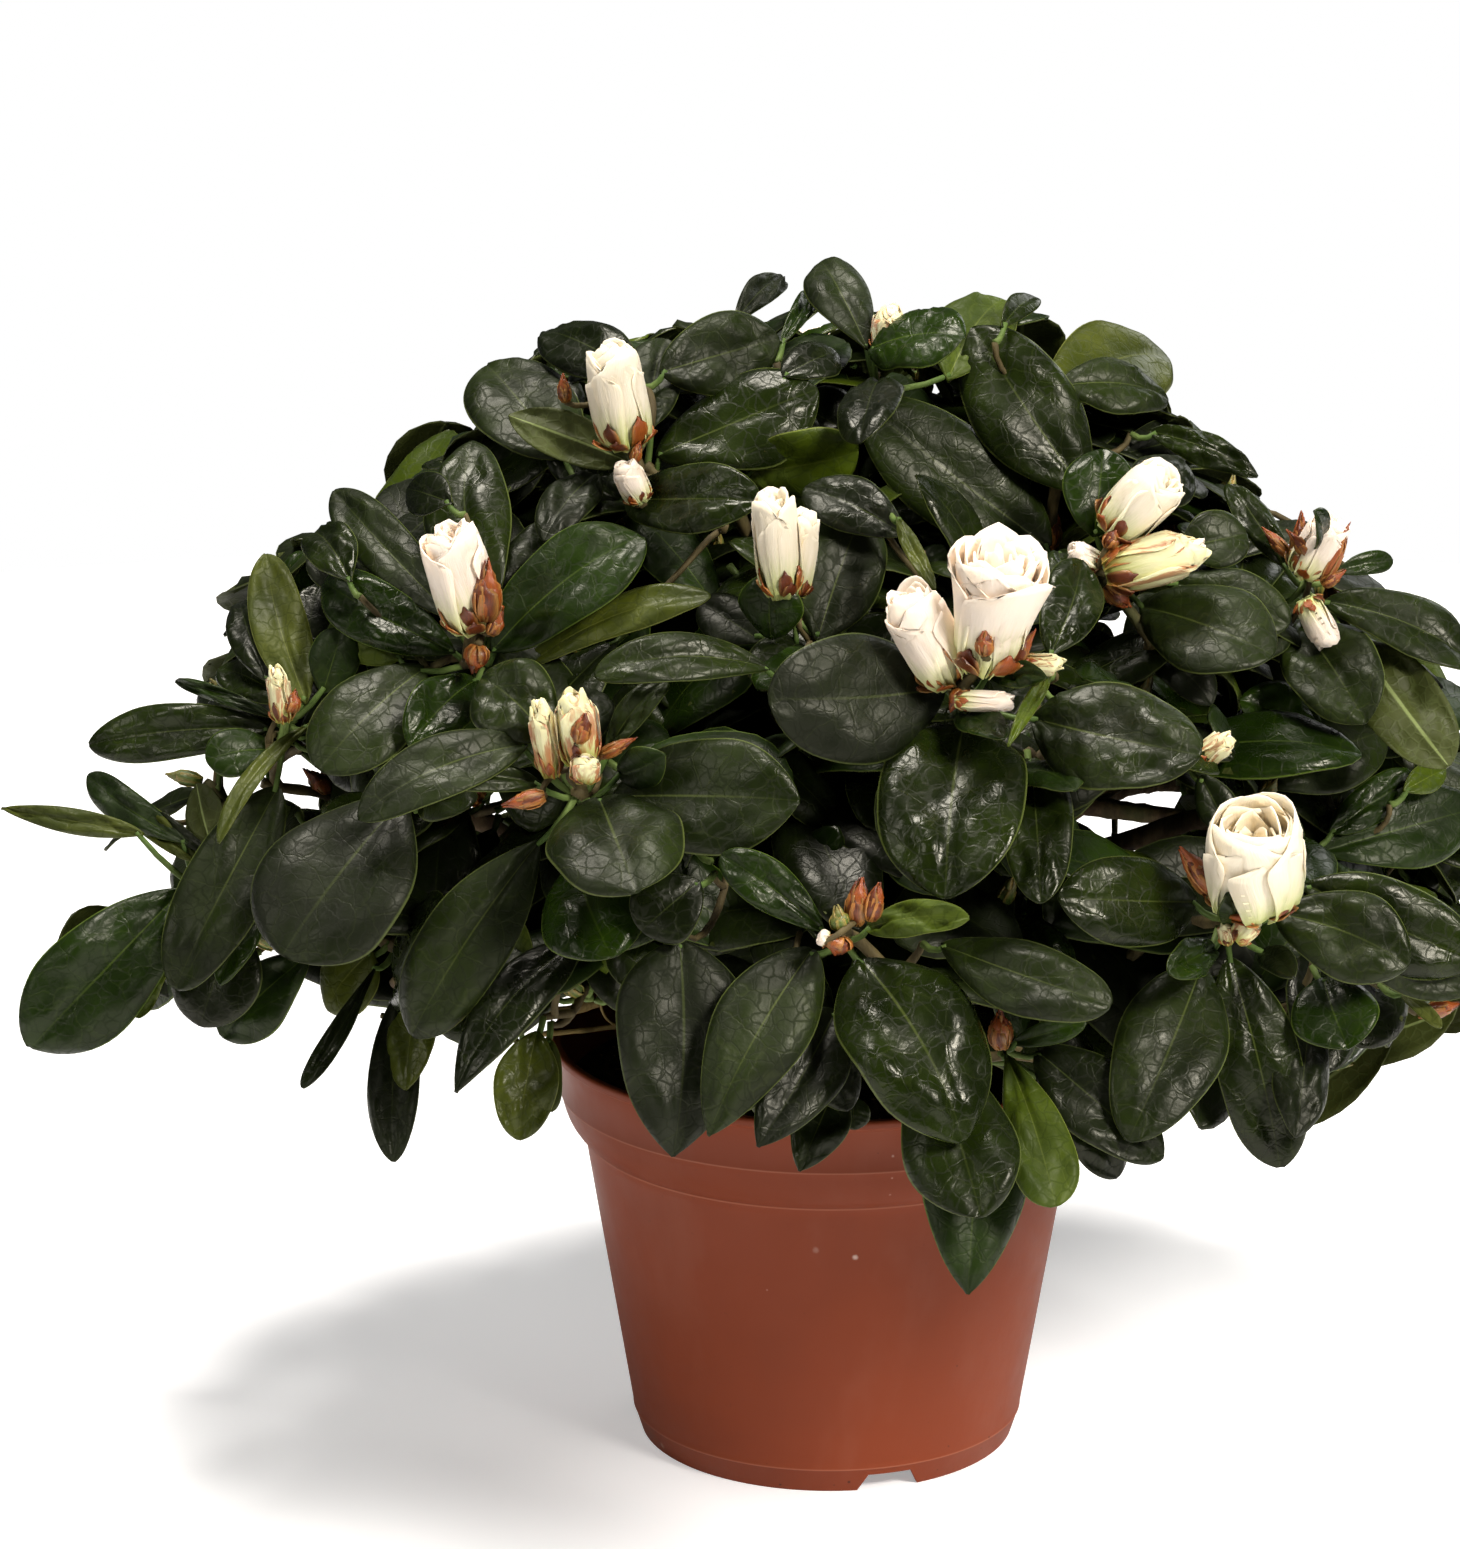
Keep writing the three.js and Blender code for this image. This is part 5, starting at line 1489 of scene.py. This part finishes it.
def build_stem(bark):
    line = np.array(STEM["line"])
    fine = np.concatenate([line[:2], smooth_path(line[1:-1], 44)[1:], line[-1:]])
    rings = turned(fine * MM, 56)
    angle = np.arctan2(rings[..., 1], rings[..., 0])
    height = rings[..., 2]
    lobes = 1 + 0.07 * np.sin(angle * 4 + 1.3) * np.exp(-height / 0.006) + 0.03 * np.sin(angle * 3)
    furrow = waves(rings.reshape(-1, 3) * np.array([1, 1, 0.25]), 0.0028, 8).reshape(height.shape)
    rings[..., :2] *= (lobes * (1 + 0.035 * furrow) / 1.07)[..., None]
    rings[..., 0] += STEM["lean"] * height
    rings[..., 2] += STEM["base"] * MM
    piece = Piece("stem_wood", [bark], "bark")
    piece.add(rings, 0)
    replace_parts(piece.build(), "stem")


# ------------------------------------------------------------------ the whole plant

BOUGH_RINGS = (40, 20)  # rows, columns
# Where the stem forks.
KNUCKLE = np.array([0.0, 0.0, (STEM["base"] + STEM["height"] * 0.8) * MM])


def leaf_looks():
    return [leaf_top("leaf_deep", "#090E03", "#111805", "#434C24", 0.30),
            leaf_top("leaf_dark", "#0D1403", "#1B2506", "#545E2C", 0.28),
            leaf_top("leaf_green", "#0F1B03", "#1A2A04", "#506222", 0.29),
            leaf_top("leaf_fresh", "#2A3707", "#425009", "#747E36", 0.36),
            leaf_top("leaf_olive", "#2A3209", "#414711", "#717638", 0.38),
            leaf_under("leaf_under"),
            leaf_top("leaf_stalk", "#31491A", "#485D28", "#68763E", 0.5)]


def blossom_looks():
    return [petal_look("petal_white", "#CCD280", "#F8E6D0", "#F8E4CE", 0.0),
            petal_look("petal_cream", "#B0B650", "#EDE7B0", "#D8C474", 0.85),
            scale_look("scale_orange", "#70360F", "#9A5018", "#84360E", 0.32),
            scale_look("scale_brown", "#451C08", "#70320E", "#522008", 0.30),
            scale_look("bract_green", "#3F561C", "#627430", "#7A6230", 0.34),
            petal_look("petal_warm", "#BCC66E", "#F3E5C8", "#F3E6CC", 0.0)]


def build_boughs(boughs, lines, bark):
    rows, columns = BOUGH_RINGS
    limbs = Piece("bough_wood", [bark], "bark")
    for number, name in enumerate(boughs):
        thick, thin = LIMB[name.split("_")[1]]
        path = smooth_path(lines[name], rows)[None]
        radii = np.linspace(thick, thin, rows)[None]
        limbs.add(bark_tubes(path, radii, columns, 0.06, 20 + number), 0)
    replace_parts(limbs.build(), *boughs)


def build_twigs(lines, shoots, young, tan):
    """Twigs to every shoot, nearest the dome's middle first, and those over the pot's rim."""
    rng = np.random.default_rng(5)
    tree = Tree()
    for line in lines.values():
        tree.add_bough(line)
    ends = [end for shoot in shoots for end in shoot.ends]
    for end, outward in sorted(ends, key=lambda e: float(dome_share(e[0]))):
        tree.grow(end, outward, rng)
    twigs = Piece("twigs", [young, tan], "bark")
    paths = np.array([path for path, _ in tree.paths])
    twigs.add(bark_tubes(paths, tree.radii(), 6, 0.07, 60), 0)

    def rim_twig(line, radius, to, rows, columns, relief, seed):
        points = [at(x, y, depth * MM) for x, y, depth in line]
        path = smooth_path(points + to, rows)[None]
        twigs.add(bark_tubes(path, np.full((1, rows), radius * MM), columns, relief, seed), 1)

    for line, radius in RIM_TWIGS_PX:
        rim_twig(line, radius, [KNUCKLE + np.array([0.002, -0.004, 0.0])], 30, 12, 0.10, 71)
    rim_twig(*RIM_CURL_PX, [], 14, 8, 0.06, 72)
    twigs.build()


def build_crown(masses, shoots, leaf, bloom):
    """Every shoot's leaves go to the nearest foliage mass's piece; its blossom goes to its own."""
    middles = {name: (np.array(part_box(name)[0]) + np.array(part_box(name)[1])) / 2 for name in masses}
    homes = {name: [] for name in masses}
    for shoot in shoots:
        homes[min(masses, key=lambda name: np.linalg.norm(middles[name] - shoot.hub))].append(shoot)
    petals, buds = (Piece(name, bloom, "foliage") for name in ("blossom", "buds"))
    for name in masses:
        piece = Piece(name.replace("foliage", "leaves"), leaf, "foliage")
        for shoot in homes[name]:
            shoot.leaves.into(piece)
            shoot.blossom.into(petals, buds)
        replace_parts(piece.build(), name)
    petals.build()
    buds.build()


def build_plant():
    bark = bark_look("bark_old", "#6E5A3C", "#423220", "#4C5428")
    young = bark_look("bark_young", "#5A4E2C", "#3C3219", "#3C4820")
    tan = bark_look("bark_tan", "#9A8450", "#6E5A34", "#7A7440")
    build_pot()
    build_peat()
    build_stem(bark)
    nodes = frame["nodes"]
    boughs, masses = (sorted(name for name in nodes if name.startswith(start))
                      for start in ("bough_", "foliage_"))
    lines = {name: limb_line(nodes[name], KNUCKLE) for name in boughs}
    build_boughs(boughs, lines, bark)
    shoots = photographed_shoots()
    cover = Cover()
    for shoot in shoots:
        for blade in shoot.leaves.rows:
            cover.add(blade)
    shoots += ruled_shoots(cover)
    build_twigs(lines, shoots, young, tan)
    build_crown(masses, shoots, leaf_looks(), blossom_looks())


build_plant()

# ------------------------------------------------------------------ floor, light and camera

WHITE = (1, 1, 1, 1)


def build_floor():
    """A round pale sheet, which the camera alone sees a little brighter than it is lit."""
    look = Look("floor_paper", Roughness=0.9, Emission_Color=WHITE)
    direct = look.node("ShaderNodeLightPath").outputs["Is Camera Ray"]
    look.plug(look.shader.inputs["Emission Strength"], look.times(direct, STUDIO["lift"]))
    mesh = bpy.data.meshes.new("floor")
    turn = np.linspace(0, 2 * math.pi, 96, endpoint=False)
    rim = [(STUDIO["floor"] * math.cos(a), STUDIO["floor"] * math.sin(a), 0) for a in turn]
    mesh.from_pydata(rim, [], [tuple(range(len(rim)))])
    look.ground(look.noise(3.0), (0.93, 0.93, 0.93, 1), (0.96, 0.96, 0.96, 1))
    mesh.materials.append(look.finish())
    floor = link(bpy.data.objects.new("floor", mesh))


def build_world():
    """The camera sees white all round, but little light comes from there."""
    world = bpy.data.worlds.new("studio")
    bpy.context.scene.world = world
    world.use_nodes = True
    tree = world.node_tree
    dim = tree.nodes["Background"]
    dim.inputs["Strength"].default_value = STUDIO["ambient"]
    white = tree.nodes.new("ShaderNodeBackground")
    for shade in (dim, white):
        shade.inputs["Color"].default_value = WHITE
    seen = tree.nodes.new("ShaderNodeLightPath")
    pick = tree.nodes.new("ShaderNodeMixShader")
    chosen = (seen.outputs["Is Camera Ray"], dim.outputs[0], white.outputs[0])
    for source, socket in zip(chosen, pick.inputs):
        tree.links.new(source, socket)
    tree.links.new(pick.outputs[0], tree.nodes["World Output"].inputs["Surface"])


def aim(away):
    """The turn that points a lamp back along a vector."""
    level = math.hypot(away[0], away[1])
    return (math.atan2(level, away[2]), 0, math.atan2(away[1], away[0]) + math.pi / 2)


def build_lights():
    for name, place, size, watts, tint in LIGHTS:
        light = bpy.data.lights.new(name, "AREA")
        light.size, light.energy, light.color = size, watts, tint
        lamp = link(bpy.data.objects.new(name, light))
        lamp.location = place
        lamp.rotation_euler = aim(np.array(place) - np.array(AIM))


def build_camera():
    camera_data = bpy.data.cameras.new("camera")
    camera_data.sensor_width = SENSOR_MM
    camera_data.lens = SENSOR_MM * FOCAL_PX / max(FRAME_PX)
    camera_data.clip_start = 0.05
    camera = link(bpy.data.objects.new("camera", camera_data))
    camera.location = EYE
    camera.rotation_euler = (math.pi / 2 - PITCH, 0, -YAW)
    bpy.context.scene.camera = camera
    bpy.context.scene.view_settings.view_transform = "Standard"


build_floor()
build_world()
build_lights()
build_camera()
